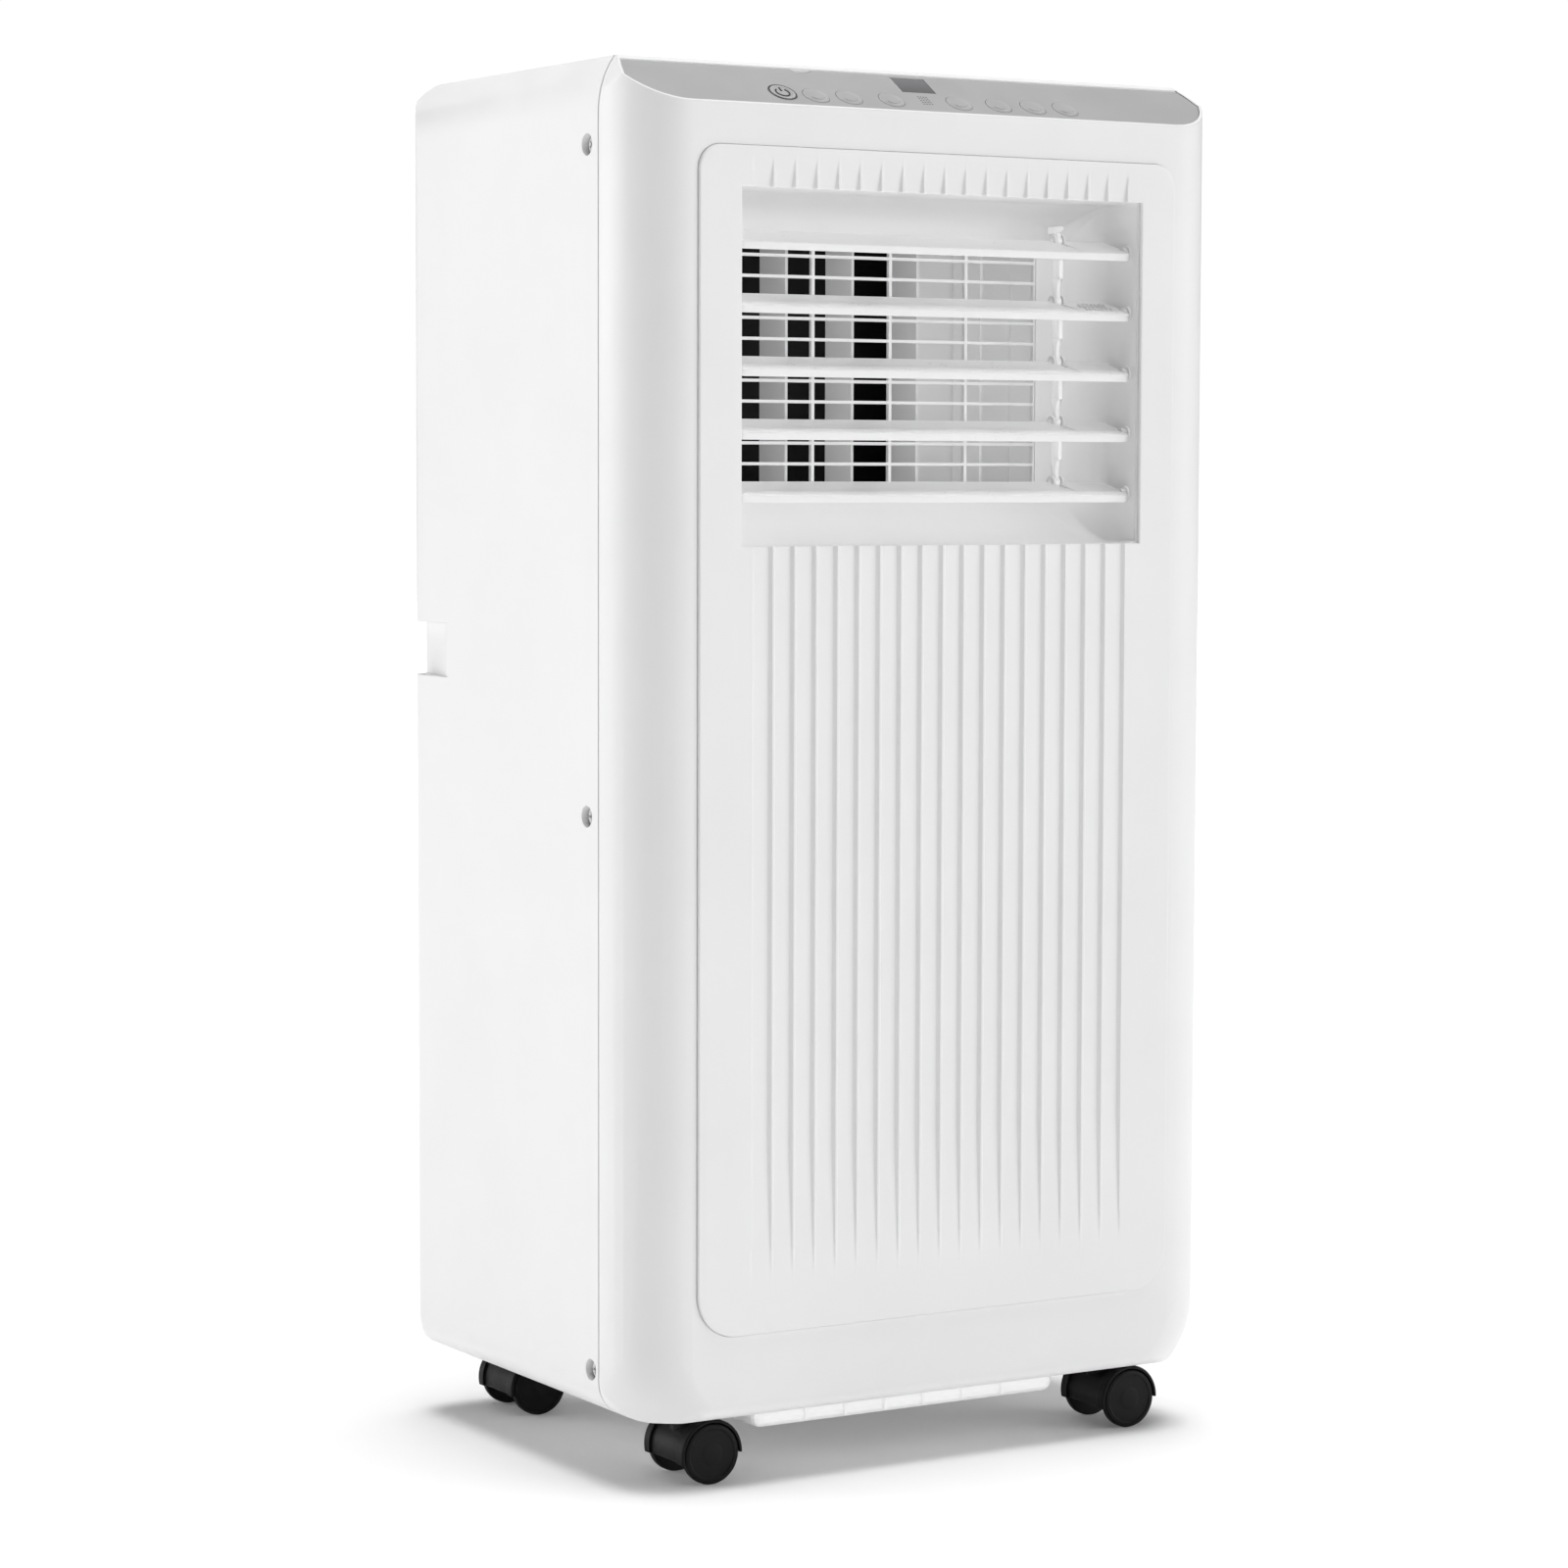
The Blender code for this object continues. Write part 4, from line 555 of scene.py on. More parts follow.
def make_front_cover():
    cover = cabinet("front_cover_skin", 0.0)
    cut(cover, slope_slab("slope_cut", 0.0, 0.05))
    seat = cabinet("seat", FASCIA_RIM - GAP)
    keep(seat, slope_slab("seat_slab", -FASCIA_SINK - FASCIA_THICK - GAP, 0.004))
    cut(seat, box("seat_back", (-1, FASCIA_BACK + GAP, 0), (1, 1, 1)))
    cut(cover, seat)
    cavity = cabinet("cavity", WALL)
    cut(cavity, slope_slab("slope_floor", -0.0052, 0.05))
    cut(cover, cavity)
    cut(cover, box("behind_seam", (-1, SEAM_Y, -1), (1, 1, 2)))
    cut(cover, seam_groove())
    cut(cover, prism("panel_groove", panel_outline(PANEL_GROOVE), "Y", FRONT - 0.01, COVER_FACE + 0.0006))
    button_hole = on_slope(box("button_hole", (-0.128, 0.0040, -0.02), (0.128, 0.0375, 0.0)))
    slack = 0.0001
    reach = OPENING_HALF + slack
    louver_hole = box("louver_hole", (OPENING_X - reach, FRONT - 0.01, OPENING_BOTTOM - slack),
                      (OPENING_X + reach, FRONT + 0.02, OPENING_TOP + slack))
    pan_hole = box("pan_hole", (-PAN_HOLE_HALF, FRONT + 0.0112, -1),
                   (PAN_HOLE_HALF, 1, CABINET_BOTTOM + 0.01))
    cut(cover, [louver_hole, pan_hole, button_hole])
    dress(cover, WHITE, "cabinet", ["front_cover"], 32)


def make_rear_shell():
    shell = cabinet("rear_shell_skin", 0.0)
    cut(shell, cabinet("rear_cavity", WALL))
    cut(shell, box("before_seam", (-1, -1, -1), (1, SEAM_Y + GAP, 2)))
    cut(shell, seam_groove())
    bosses, holes = [], []
    for side in (-1, 1):
        for centre in SCREW_PLACES.values():
            bosses.append(side_cylinder(side, WALL / 2, 0.0100, centre, 0.0070))
            holes.append(side_cylinder(side, -0.005, 0.0056, centre, 0.0053))
        xs = sorted((side * (HALF - GRIP_DEPTH - WALL), side * (HALF - WALL / 2)))
        bosses.append(box("pocket", (xs[0], GRIP_FRONT - WALL, GRIP_LOW - WALL),
                          (xs[1], BACK_FACE - WALL / 2, GRIP_HIGH + WALL)))
        outside, deepest = side * (HALF + 0.01), side * (HALF - GRIP_DEPTH * 0.9)
        wedge = [(outside, GRIP_FRONT - 0.002), (side * HALF, GRIP_FRONT),
                 (side * (HALF - GRIP_DEPTH * 0.25), GRIP_FRONT + 0.010), (deepest, BACK_FACE - 0.006),
                 (deepest, BACK_FACE + 0.01), (outside, BACK_FACE + 0.01)]
        holes.append(prism("grip", wedge, "Z", GRIP_LOW, GRIP_HIGH))
    limit = cabinet("boss_limit", WALL / 2)
    lugs = bosses[0]
    join(lugs, bosses[1:])
    keep(lugs, limit)
    join(shell, lugs)
    for low, high in INTAKES:
        holes.append(box("intake", (-INTAKE_HALF, THROUGH_BACK[0], low),
                         (INTAKE_HALF, THROUGH_BACK[1], high), 0.002))
    holes.append(cylinder("exhaust", "Y", (EXHAUST[0], 0, EXHAUST[1]), EXHAUST_R + 0.0025, *THROUGH_BACK, 64))
    for x, z in PORTS.values():
        holes.append(cylinder("port", "Y", (x, 0, z), PORT_HOLE_R, *THROUGH_BACK, 24))
    holes.append(box("pan_hole", (-PAN_HOLE_HALF, -1, -1), (PAN_HOLE_HALF, 0.1018, CABINET_BOTTOM + 0.012)))
    cut(shell, holes)
    dress(shell, WHITE, "cabinet", ["rear_shell"], 32)


# ---------- ribbed front panel
RIDGE_COUNT, RIDGE_SPAN = 19, 0.2220
RIDGE_HALF = 0.00055                 # half width of a ridge's flat crown
CHANNEL_DEPTH = 0.0016
CHANNEL_SLOPE = 1.25                 # depth gained for each metre away from a ridge's crown
RIB_TOP, RIB_BOTTOM, RIB_FADE = 0.6507, 0.1060, 0.0640
EDGE_R = 0.0007
RIDGES = [(index / (RIDGE_COUNT - 1) - 0.5) * RIDGE_SPAN for index in range(RIDGE_COUNT)]


def fillet(distance, radius):
    """Drop of a rounded edge at a distance inside it."""
    if distance >= radius:
        return 0.0
    inside = radius - max(distance, 0.0)
    return radius - math.sqrt(max(radius * radius - inside * inside, 0.0))


def outline_distance(x, z):
    """Distance inside the raised panel's outline."""
    middle = (PANEL_TOP + PANEL_BOTTOM) / 2
    corner = PANEL_TOP_R if z > middle else PANEL_BOTTOM_R
    dx = abs(x) - (PANEL_HALF - corner)
    dz = abs(z - middle) - ((PANEL_TOP - PANEL_BOTTOM) / 2 - corner)
    return corner - math.hypot(max(dx, 0), max(dz, 0)) - min(max(dx, dz), 0)


def channel_depth(x, z):
    if z > OPENING_MID:
        limit = (RIB_TOP - z) / (RIB_TOP - OPENING_TOP)
    else:
        limit = (z - RIB_BOTTOM) / RIB_FADE
        limit = min(max(limit, 0), 1) ** 0.8
    limit = CHANNEL_DEPTH * min(max(limit, 0), 1)
    if limit <= 0 or abs(x) >= RIDGES[-1]:
        return 0.0
    away = min(abs(x - ridge) for ridge in RIDGES) - RIDGE_HALF
    if away <= 0:
        return 0.0
    steep = away * CHANNEL_SLOPE
    soft = 0.00022
    blend = max(soft - abs(steep - limit), 0.0) / soft
    return max(min(steep, limit) - blend * blend * soft / 4, 0.0)


def face_y(x, z):
    opening = max(abs(x - OPENING_X) - OPENING_HALF, z - OPENING_TOP, OPENING_BOTTOM - z)
    return FRONT + max(fillet(outline_distance(x, z), EDGE_R), fillet(opening, EDGE_R)) + channel_depth(x, z)


def column_ends(x):
    """Lowest and highest points of the panel at one x."""
    ends = []
    for level, corner, sign in ((PANEL_BOTTOM, PANEL_BOTTOM_R, 1), (PANEL_TOP, PANEL_TOP_R, -1)):
        over = max(abs(x) - (PANEL_HALF - corner), 0.0)
        ends.append(level + sign * (corner - math.sqrt(max(corner * corner - over * over, 0.0))))
    return ends


def spaced(values, gap=0.00004):
    """Values in order, without near repeats."""
    kept = []
    for value in sorted(values):
        if not kept or value - kept[-1] > gap:
            kept.append(value)
    return kept


def make_front_panel():
    near_edge = (0.0, 0.00012, 0.0003, 0.00055, EDGE_R, 0.0016)
    near_ridge = (RIDGE_HALF, 0.0008, 0.0011, 0.0014, 0.0017, 0.0019, 0.0021, 0.0026)
    columns = []
    for sign in (-1, 1):
        columns += [sign * (PANEL_HALF - step) for step in near_edge]
        columns += [sign * (PANEL_HALF - PANEL_BOTTOM_R * (1 - math.cos(math.radians(angle))))
                    for angle in range(10, 91, 8)]
        columns += [OPENING_X + sign * (OPENING_HALF + step) for step in near_edge]
        columns += [ridge + sign * step for ridge in RIDGES for step in near_ridge]
    columns = spaced([x for x in columns if abs(x) <= PANEL_HALF])
    rows = [0.20, 0.26, 0.32, 0.38, 0.44, GRILLE_BOTTOM, 0.52, 0.5505, 0.58, GRILLE_TOP]
    for step in near_edge:
        rows += [PANEL_BOTTOM + step, PANEL_TOP - step, OPENING_BOTTOM - step, OPENING_TOP + step]
    rows += [PANEL_BOTTOM + PANEL_BOTTOM_R * (1 - math.cos(math.radians(angle)))
             for angle in range(20, 91, 14)]
    rows += [RIB_BOTTOM + RIB_FADE * step / 22 for step in range(23)]
    rows += [OPENING_TOP + (RIB_TOP - OPENING_TOP) * step / 9 for step in range(10)]
    rows = spaced(rows)
    low_blend, high_blend = PANEL_BOTTOM + 0.028, PANEL_TOP - 0.0150
    shape = bmesh.new()
    face, back = {}, {}
    y_back = COVER_FACE + 0.0007
    for i, x in enumerate(columns):
        low, high = column_ends(x)
        for j, row in enumerate(rows):
            z = row
            if row < low_blend:
                z = low + (row - PANEL_BOTTOM) * (low_blend - low) / (low_blend - PANEL_BOTTOM)
            elif row > high_blend and abs(x) > PANEL_HALF - PANEL_TOP_R:
                z = high - (PANEL_TOP - row) * (high - high_blend) / (PANEL_TOP - high_blend)
            face[i, j] = shape.verts.new((x, face_y(x, z), z))
            back[i, j] = shape.verts.new((x, y_back, z))
    solid = set()
    for i in range(len(columns) - 1):
        for j in range(len(rows) - 1):
            x, z = (columns[i] + columns[i + 1]) / 2, (rows[j] + rows[j + 1]) / 2
            if not (abs(x - OPENING_X) < OPENING_HALF and OPENING_BOTTOM < z < OPENING_TOP):
                solid.add((i, j))
    for i, j in solid:
        shape.faces.new([face[i, j], face[i + 1, j], face[i + 1, j + 1], face[i, j + 1]])
        shape.faces.new([back[i, j + 1], back[i + 1, j + 1], back[i + 1, j], back[i, j]])
        sides = (((i - 1, j), (i, j), (i, j + 1)), ((i + 1, j), (i + 1, j + 1), (i + 1, j)),
                 ((i, j - 1), (i + 1, j), (i, j)), ((i, j + 1), (i, j + 1), (i + 1, j + 1)))
        for beyond, a, b in sides:
            if beyond not in solid:
                shape.faces.new([face[a], face[b], back[b], back[a]])
    loose = [vert for vert in shape.verts if not vert.link_faces]
    bmesh.ops.delete(shape, geom=loose, context="VERTS")
    bmesh.ops.remove_doubles(shape, verts=shape.verts, dist=TINY)
    bmesh.ops.recalc_face_normals(shape, faces=shape.faces)
    panel = add_object("front_panel", shape)
    dress(panel, WHITE, "cabinet", (), 50, weigh=False)


# ---------- louver bay
def frame_loop(inset, y, radius=0.0015, half=OPENING_HALF, low=OPENING_BOTTOM, high=OPENING_TOP,
               middle=OPENING_X):
    """Rounded rectangle round the opening, moved in by inset, at depth y."""
    points = rounded_rectangle(middle - half + inset, middle + half - inset, low + inset, high - inset,
                               radius, radius, 4)
    return [(x, y, z) for x, z in points]


def window_loop(grow, y):
    """Rounded rectangle round the grille's window."""
    return frame_loop(0, y, 0.0008, GRILLE_HALF + GAP + grow, GRILLE_BOTTOM - GAP - grow,
                      GRILLE_TOP + GAP + grow, 0.0)


def make_louver_bay():
    start = COVER_FACE + 0.0004
    cove_start = BAY_BACK - BAY_COVE_R
    loops = [frame_loop(0, start), frame_loop(0, start + 0.004), frame_loop(0, cove_start)]
    cove = BAY_COVE_R - 0.0006
    for step in range(1, 17):
        angle = math.radians(90 * step / 16)
        inset = cove * (1 - math.cos(angle))
        loops.append(frame_loop(inset, cove_start + BAY_COVE_R * math.sin(angle), 0.0015 + inset * 0.5))
    loops += [window_loop(0, BAY_BACK), window_loop(0, BAY_BACK + BAY_WALL),
              window_loop(0.0010, BAY_BACK + BAY_WALL)]
    for step in range(16, -1, -4):
        angle = math.radians(90 * step / 16)
        loops.append(frame_loop(cove * (1 - math.cos(angle)) - BAY_WALL,
                                cove_start + (BAY_COVE_R + BAY_WALL) * math.sin(angle)))
    flange = COVER_FACE + WALL + GAP
    loops += [frame_loop(-BAY_WALL, flange), frame_loop(-0.00005, flange), frame_loop(-0.00005, start)]
    bay = lofted("louver_bay_skin", loops, closed=True)
    dress(bay, BAY_WHITE, "cabinet", ["louver_bay"], 40)
    rings = []
    for index in range(VANE_COUNT):
        for side in (-1, 1):
            wall = OPENING_X + side * OPENING_HALF
            profile = [(0.0024, wall), (0.0024, wall - side * 0.0008), (0.0030, wall - side * 0.0011),
                       (0.0038, wall - side * 0.0008), (0.0040, wall), (0.0024, wall)]
            rings.append(lathe("ring", "X", (0, VANE_AXIS_Y, vane_height(index)), profile, 24))
    dress(merged("vane_bearing_rings", rings), BAY_WHITE, "cabinet")


# ---------- louvers
def vane_height(index):
    return OPENING_MID + ((VANE_COUNT - 1) / 2 - index) * VANE_PITCH


def vane_section(front, rear):
    """Closed section of a vane between its front and rear edges: a full nose and a thin tail."""
    nose = [(0.0032, 0.0015), (0.0006, 0.0014), (0.0002, 0.00125), (0.0, 0.0008), (0.0, -0.0019),
            (0.0002, -0.0024), (0.0007, -0.0026), (0.0024, -0.0026), (0.0029, -0.0023),
            (0.0035, -0.0013), (0.0042, -0.0010)]
    tail = [(0.0008, -0.0006), (0.0002, -0.0003), (0.0, 0.0001), (0.0002, 0.0005), (0.0008, 0.0008)]
    return [(front + y, z) for y, z in nose] + [(rear - y, z) for y, z in tail]


def vane_edges(x):
    """Front and rear edges of a vane at one x."""
    over = max(abs(x) - (VANE_HALF - VANE_CORNER_R), 0.0)
    pull = VANE_CORNER_R - math.sqrt(max(VANE_CORNER_R ** 2 - over ** 2, 0.0))
    return -VANE_LIP + pull, VANE_TAIL - pull


def make_vanes():
    link_x = LINK_X - OPENING_X
    slot = (link_x - LINK_SLOT_HALF, link_x + LINK_SLOT_HALF)
    xs = [-0.07, -0.035, 0.0, 0.035, 0.07, slot[0] - 1e-5, *slot, slot[1] + 1e-5]
    for sign in (-1, 1):
        xs += [sign * (VANE_HALF - VANE_CORNER_R * (1 - math.sin(math.radians(angle))))
               for angle in range(0, 91, 10)]
        xs += [sign * (VANE_HALF - step) for step in (0.0042, 0.008, 0.016)]
    loops = []
    for x in sorted(xs):
        front, rear = vane_edges(x)
        if x in slot:
            rear = LINK_ARM - 0.0085
        loops.append([(x, y, z) for y, z in vane_section(front, rear)])
    tilt = Matrix.Rotation(VANE_TILT, 4, "X")
    for index in range(VANE_COUNT):
        place = Matrix.Translation((OPENING_X, VANE_AXIS_Y, vane_height(index))) @ tilt
        vane = lofted(f"louver_blade_{index + 1}", loops)
        vane.data.transform(place)
        body = f"louver_vane_{index + 1}"
        dress(vane, VANE_WHITE, body, [body], 40)
        details = []
        for side in (-1, 1):
            end = side * VANE_HALF
            low, high = sorted((end - side * 0.0010, end + side * 0.0036))
            details.append(lathe("pivot", "X", (0, 0, 0), rounded_disc(0.0018, low, high, 0.0003), 20))
            low, high = sorted((end - side * 0.0020, end + side * 0.0009))
            shoulder = rounded_disc(0.0030, low, high, 0.0004)
            details.append(lathe("shoulder", "X", (0, 0, -0.0002), shoulder, 24))
            x = link_x + side * 0.0028
            lug = rounded_disc(0.0031, x - 0.0008, x + 0.0008, 0.0003)
            details.append(lathe("lug", "X", (0, LINK_ARM, LINK_RISE), lug, 28))
        if index == 1:
            # raised dots where a finger pushes
            dot = [(0.00080, 0.0006), (0.00078, 0.0018), (0.00050, 0.00235), (0.0, 0.0025)]
            for row in range(4):
                for column in range(7):
                    x = 0.0925 + column * 0.0025 + (row % 2) * 0.00125
                    details.append(lathe("dot", "Z", (x, -0.0010 + row * 0.0034, 0), dot, 12))
        trim = merged(f"louver_trim_{index + 1}", details)
        trim.data.transform(place)
        dress(trim, VANE_WHITE, body)


def link_pin(index):
    """Centre of the link bar's pin in one vane, at rest."""
    arm = Matrix.Rotation(VANE_TILT, 4, "X") @ Vector((0, LINK_ARM, LINK_RISE))
    return Vector((LINK_X, VANE_AXIS_Y, vane_height(index))) + arm


# sides of the link bar as steps in y and z from a pin: at the pin, along the blade below it, and the tab
LINK_FRONT = [(-0.0013, 0.0042), (-0.0017, 0.0026), (-0.0019, 0.0), (-0.0017, -0.0026), (-0.0013, -0.0042)]
LINK_REAR = [(-y, z) for y, z in LINK_FRONT]
BLADE_FRONT = [(-0.0013, -0.0078), (-0.0015, -0.0087), (-0.0022, -0.0093), (-0.0036, -0.0094),
               (-0.0040, -0.0098), (-0.0040, -0.0188), (-0.0038, -0.0192), (-0.0031, -0.0194),
               (-0.0024, -0.0199), (-0.0020, -0.0208), (-0.0019, -0.0222), (-0.0015, -0.0236),
               (-0.0013, -0.0250)]
BLADE_REAR = [(0.0013, -0.0080), (0.0017, -0.0088), (0.0024, -0.0093), (0.0028, -0.0100),
              (0.0028, -0.0205), (0.0025, -0.0214), (0.0016, -0.0222), (0.0013, -0.0236)]
TAB_FRONT = [(-0.0032, 0.0073), (-0.0038, 0.0072), (-0.0040, 0.0068), (-0.0040, 0.0062),
             (-0.0036, 0.0054), (-0.0026, 0.0047), (-0.0017, 0.0044)]
TAB_REAR = [(0.0062, 0.0073), (0.0068, 0.0072), (0.0070, 0.0068), (0.0070, 0.0042), (0.0062, 0.0036),
            (0.0030, 0.0035), (0.0016, 0.0040)]


def make_louver_link():
    """Plate with a finger tab on top, a blade between each pair of vanes and a pin in each vane."""
    top, bottom = link_pin(0), link_pin(VANE_COUNT - 1)
    front_side = [(top.y + y, top.z + z) for y, z in TAB_FRONT]
    rear_side = [(top.y + y, top.z + z) for y, z in TAB_REAR]
    ribs, pins = [], []
    for index in range(VANE_COUNT):
        pin = link_pin(index)
        last = index == VANE_COUNT - 1
        front_side += [(pin.y + y, pin.z + z) for y, z in LINK_FRONT + ([] if last else BLADE_FRONT)]
        rear_side += [(pin.y + y, pin.z + z) for y, z in LINK_REAR + ([] if last else BLADE_REAR)]
        for side in () if last else (-1, 1):
            low, high = sorted((LINK_X + side * 0.0008, LINK_X + side * (LINK_HALF + 0.0001)))
            for step in range(3):
                y = pin.y - 0.0036 + step * 0.0022
                ribs.append(box("rib", (low, y, pin.z - 0.0186), (high, y + 0.0013, pin.z - 0.0100),
                                0.0002, 2))
        for radius, reach, steps in ((0.0013, 0.0037, 20), (0.0026, 0.0015, 28)):
            profile = rounded_disc(radius, LINK_X - reach, LINK_X + reach, 0.0003)
            pins.append(lathe("pin", "X", (0, pin.y, pin.z), profile, steps))
    foot = [(0.0013, -0.0055), (0.0, -0.0060), (-0.0013, -0.0055)]
    outline = rear_side + [(bottom.y + y, bottom.z + z) for y, z in foot] + front_side[::-1]
    half = LINK_HALF - 0.0001
    details = [prism("bar", outline, "X", LINK_X - half, LINK_X + half, 0.0002)] + ribs + pins
    dress(merged("louver_link_bar", details), VANE_WHITE, "louver_link", ["louver_link"])


# ---------- control panel
def on_slope(obj):
    obj.data.transform(SLOPE)
    return obj


def make_fascia():
    fascia = cabinet("control_fascia_skin", FASCIA_RIM)
    top = -FASCIA_SINK
    keep(fascia, slope_slab("slab", top - FASCIA_THICK, top))
    cut(fascia, box("fascia_back", (-1, FASCIA_BACK, 0), (1, 1, 1)))
    holes = []
    for x, s, radius in [(POWER_X, POWER_S, POWER_R)] + [(x, BUTTON_S, BUTTON_R) for x in BUTTON_X]:
        holes.append(on_slope(cylinder("hole", "Z", (x, s, 0), radius + BUTTON_GAP, -0.01, 0.01, 64)))
    wide, tall = DISPLAY_WIDTH / 2 + 0.0001, DISPLAY_HEIGHT / 2 + 0.0001
    holes.append(on_slope(box("display_hole", (DISPLAY_X - wide, DISPLAY_S - tall, -0.01),
                              (DISPLAY_X + wide, DISPLAY_S + tall, 0.01))))
    # finger notch towards the rear edge
    notch = [(0, top - 0.0012), (0.0052, top - 0.0011), (0.0068, top - 0.0006), (0.0074, top + 0.0001),
             (0.0078, top + 0.001), (0, top + 0.001)]
    rear_edge = (FASCIA_BACK - COVER_FACE) / math.cos(SLOPE_ANGLE)
    holes.append(on_slope(lathe("notch", "Z", (-0.0636, rear_edge + 0.0035, 0), notch, 64)))
    cut(fascia, holes)
    dress(fascia, GREY, "cabinet", ["control_fascia"], 32)


def button_cap(name, x, s, radius):
    under = -FASCIA_SINK - FASCIA_THICK - GAP - 0.0008
    profile = [(0, under), (radius, under), (radius, CAP_TOP - 0.0004),
               (radius - 0.00012, CAP_TOP - 0.00012), (radius - 0.0004, CAP_TOP),
               (radius - 0.0009, CAP_TOP), (radius - 0.0016, CAP_TOP - 0.00016),
               (radius * 0.5, CAP_TOP - 0.00024), (0, CAP_TOP - 0.00026)]
    return on_slope(lathe(name, "Z", (x, s, 0), profile, 64))


def mark(name, strokes, look, body):
    """Strokes merged into one coloured piece on the control panel: marks, and also painted highlights and
    painted shade.
    """
    dress(on_slope(merged(name, strokes)), look, body)


def ring_mark(name, x, s, inner, outer, low, high):
    profile = [(inner, low), (inner, high), (outer, high), (outer, low), (inner, low)]
    return lathe(name, "Z", (x, s, 0), profile, 64)


def make_buttons():
    under, over, level = CAP_TOP - 0.0006, CAP_TOP + 0.00002, -FASCIA_SINK
    cap = button_cap("power_button_cap", POWER_X, POWER_S, POWER_R)
    dress(cap, GREY, "power_button", ["power_button"])
    mark("power_ring", [ring_mark("band", POWER_X, POWER_S, 0.0053, 0.0060, under, over)], GREY_LIGHT,
         "power_button")
    # the rim strip just inside the cap's edge is painted shadow of the gap round the button; the arc and the
    # bar are the power symbol
    strokes = [ring_mark("rim", POWER_X, POWER_S, POWER_R - 0.00085, POWER_R - 0.00015, under, over),
               arc_stroke((POWER_X, POWER_S), 0.0036, 130, 410, 0.0008, under, over),
               box("bar", (POWER_X - 0.0004, POWER_S + 0.0012, under),
                   (POWER_X + 0.0004, POWER_S + 0.0046, over))]
    mark("power_symbol_and_gap_shadow", strokes, DARK_MARKS_AND_SHADE, "power_button")
    over = CAP_TOP + 0.00003
    for number, x in enumerate(BUTTON_X, start=1):
        body = f"control_button_{number}"
        cap = button_cap(f"button_cap_{number}", x, BUTTON_S, BUTTON_R)
        dress(cap, GREY, body, [body])
        # painted highlight: two light grey arcs across the lower half of each cap
        strokes = [arc_stroke((x, BUTTON_S), 0.0052, 195, 350, 0.0007, under, over),
                   arc_stroke((x, BUTTON_S), 0.0034, 205, 335, 0.0004, under, over)]
        mark(f"button_highlight_{number}", strokes, GREY_LIGHT, body)
    bars = [box("bar", (x - 0.0022, BUTTON_S + 0.0090, level - 0.0003),
                (x + 0.0022, BUTTON_S + 0.0094, level + 0.00004))
            for x in BUTTON_X if abs(x - DISPLAY_X) > 0.015]
    mark("panel_marks", bars, GREY_LIGHT, "cabinet")
    dot = [(0, level - 0.0003), (0.0004, level - 0.0003), (0.0004, level + 0.00005), (0, level + 0.00006)]
    dots = [lathe("dot", "Z", (-0.0062 + column * 0.0016, 0.0100 + row * 0.0018, 0), dot, 12)
            for row in range(5) for column in range(4)]
    mark("sensor_dots", dots, DARK_MARKS_AND_SHADE, "cabinet")


def arc_stroke(centre, radius, start, end, width, low, high):
    """Open ring of rectangular section in the control panel's plane."""
    inner, outer = [arc(centre, radius + side * width / 2, start, end, 24) for side in (-1, 1)]
    return lofted("stroke", [[(*a, low), (*b, low), (*b, high), (*a, high)] for a, b in zip(inner, outer)])


def make_display():
    wide, tall = DISPLAY_WIDTH / 2, DISPLAY_HEIGHT / 2
    glass = on_slope(box("display_glass", (DISPLAY_X - wide, DISPLAY_S - tall, -0.0056),
                         (DISPLAY_X + wide, DISPLAY_S + tall, -FASCIA_SINK - 0.0001), 0.0003))
    dress(glass, WINDOW, "cabinet", ["display_window"])


# ---------- screws, fittings
def make_screws():
    for side, hand in ((-1, "left"), (1, "right")):
        for level, (screw_y, z) in SCREW_PLACES.items():
            outer, inner = side * (HALF - 0.0026), side * (HALF - 0.0054)
            dome = [(0.0043, 0.0012), (0.0041, 0.0006), (0.0033, 0.0002), (0.0018, 0), (0, 0)]
            profile = [(0, inner), (0.0034, inner)] + [(radius, outer - side * drop) for radius, drop in dome]
            head = lathe("screw_head_" + hand + "_" + level, "X", (0, screw_y, z), profile, 40)
            low, high = sorted((outer - side * 0.0014, outer + side * 0.001))
            slots = [box("slot", (low, screw_y - y, z - rise), (high, screw_y + y, z + rise))
                     for y, rise in ((0.00055, 0.0024), (0.0024, 0.00055))]
            # cross recess, turned to where the screw stopped
            turn = Matrix.Rotation(math.radians(25 + 40 * len(level)), 4, "X")
            centre = Vector((0, screw_y, z))
            for slot in slots:
                slot.data.transform(Matrix.Translation(centre) @ turn @ Matrix.Translation(-centre))
            cut(head, slots)
            dress(head, SCREW_WHITE, "cabinet", [f"cover_screw_{hand}_{level}"])


def make_exhaust_collar():
    front, back = 0.1103, RIM_BACK
    bore, tube, rim = EXHAUST_R - 0.004, EXHAUST_R, EXHAUST_R + 0.006
    lip = BACK_FACE + GAP
    profile = [(bore, front), (tube, front), (tube, lip), (rim, lip)]
    profile += arc((rim - 0.0005, back - 0.0005), 0.0005, 0, 90, 5)
    profile += [(bore + 0.0008, back), (bore + 0.0002, back - 0.0002), (bore, back - 0.0008), (bore, front)]
    ring = lathe("hose_collar", "Y", (EXHAUST[0], 0, EXHAUST[1]), profile, 96)
    bars = []
    for index in range(-2, 3):
        offset = index * 0.021
        reach = math.sqrt((EXHAUST_R - 0.002) ** 2 - offset ** 2)
        bars.append(box("bar", (-reach, front + 0.0005, EXHAUST[1] + offset - 0.0012),
                        (reach, front + 0.0035, EXHAUST[1] + offset + 0.0012), 0.0005, 2))
    join(ring, bars)
    dress(ring, WHITE, "cabinet", ["exhaust_collar"])


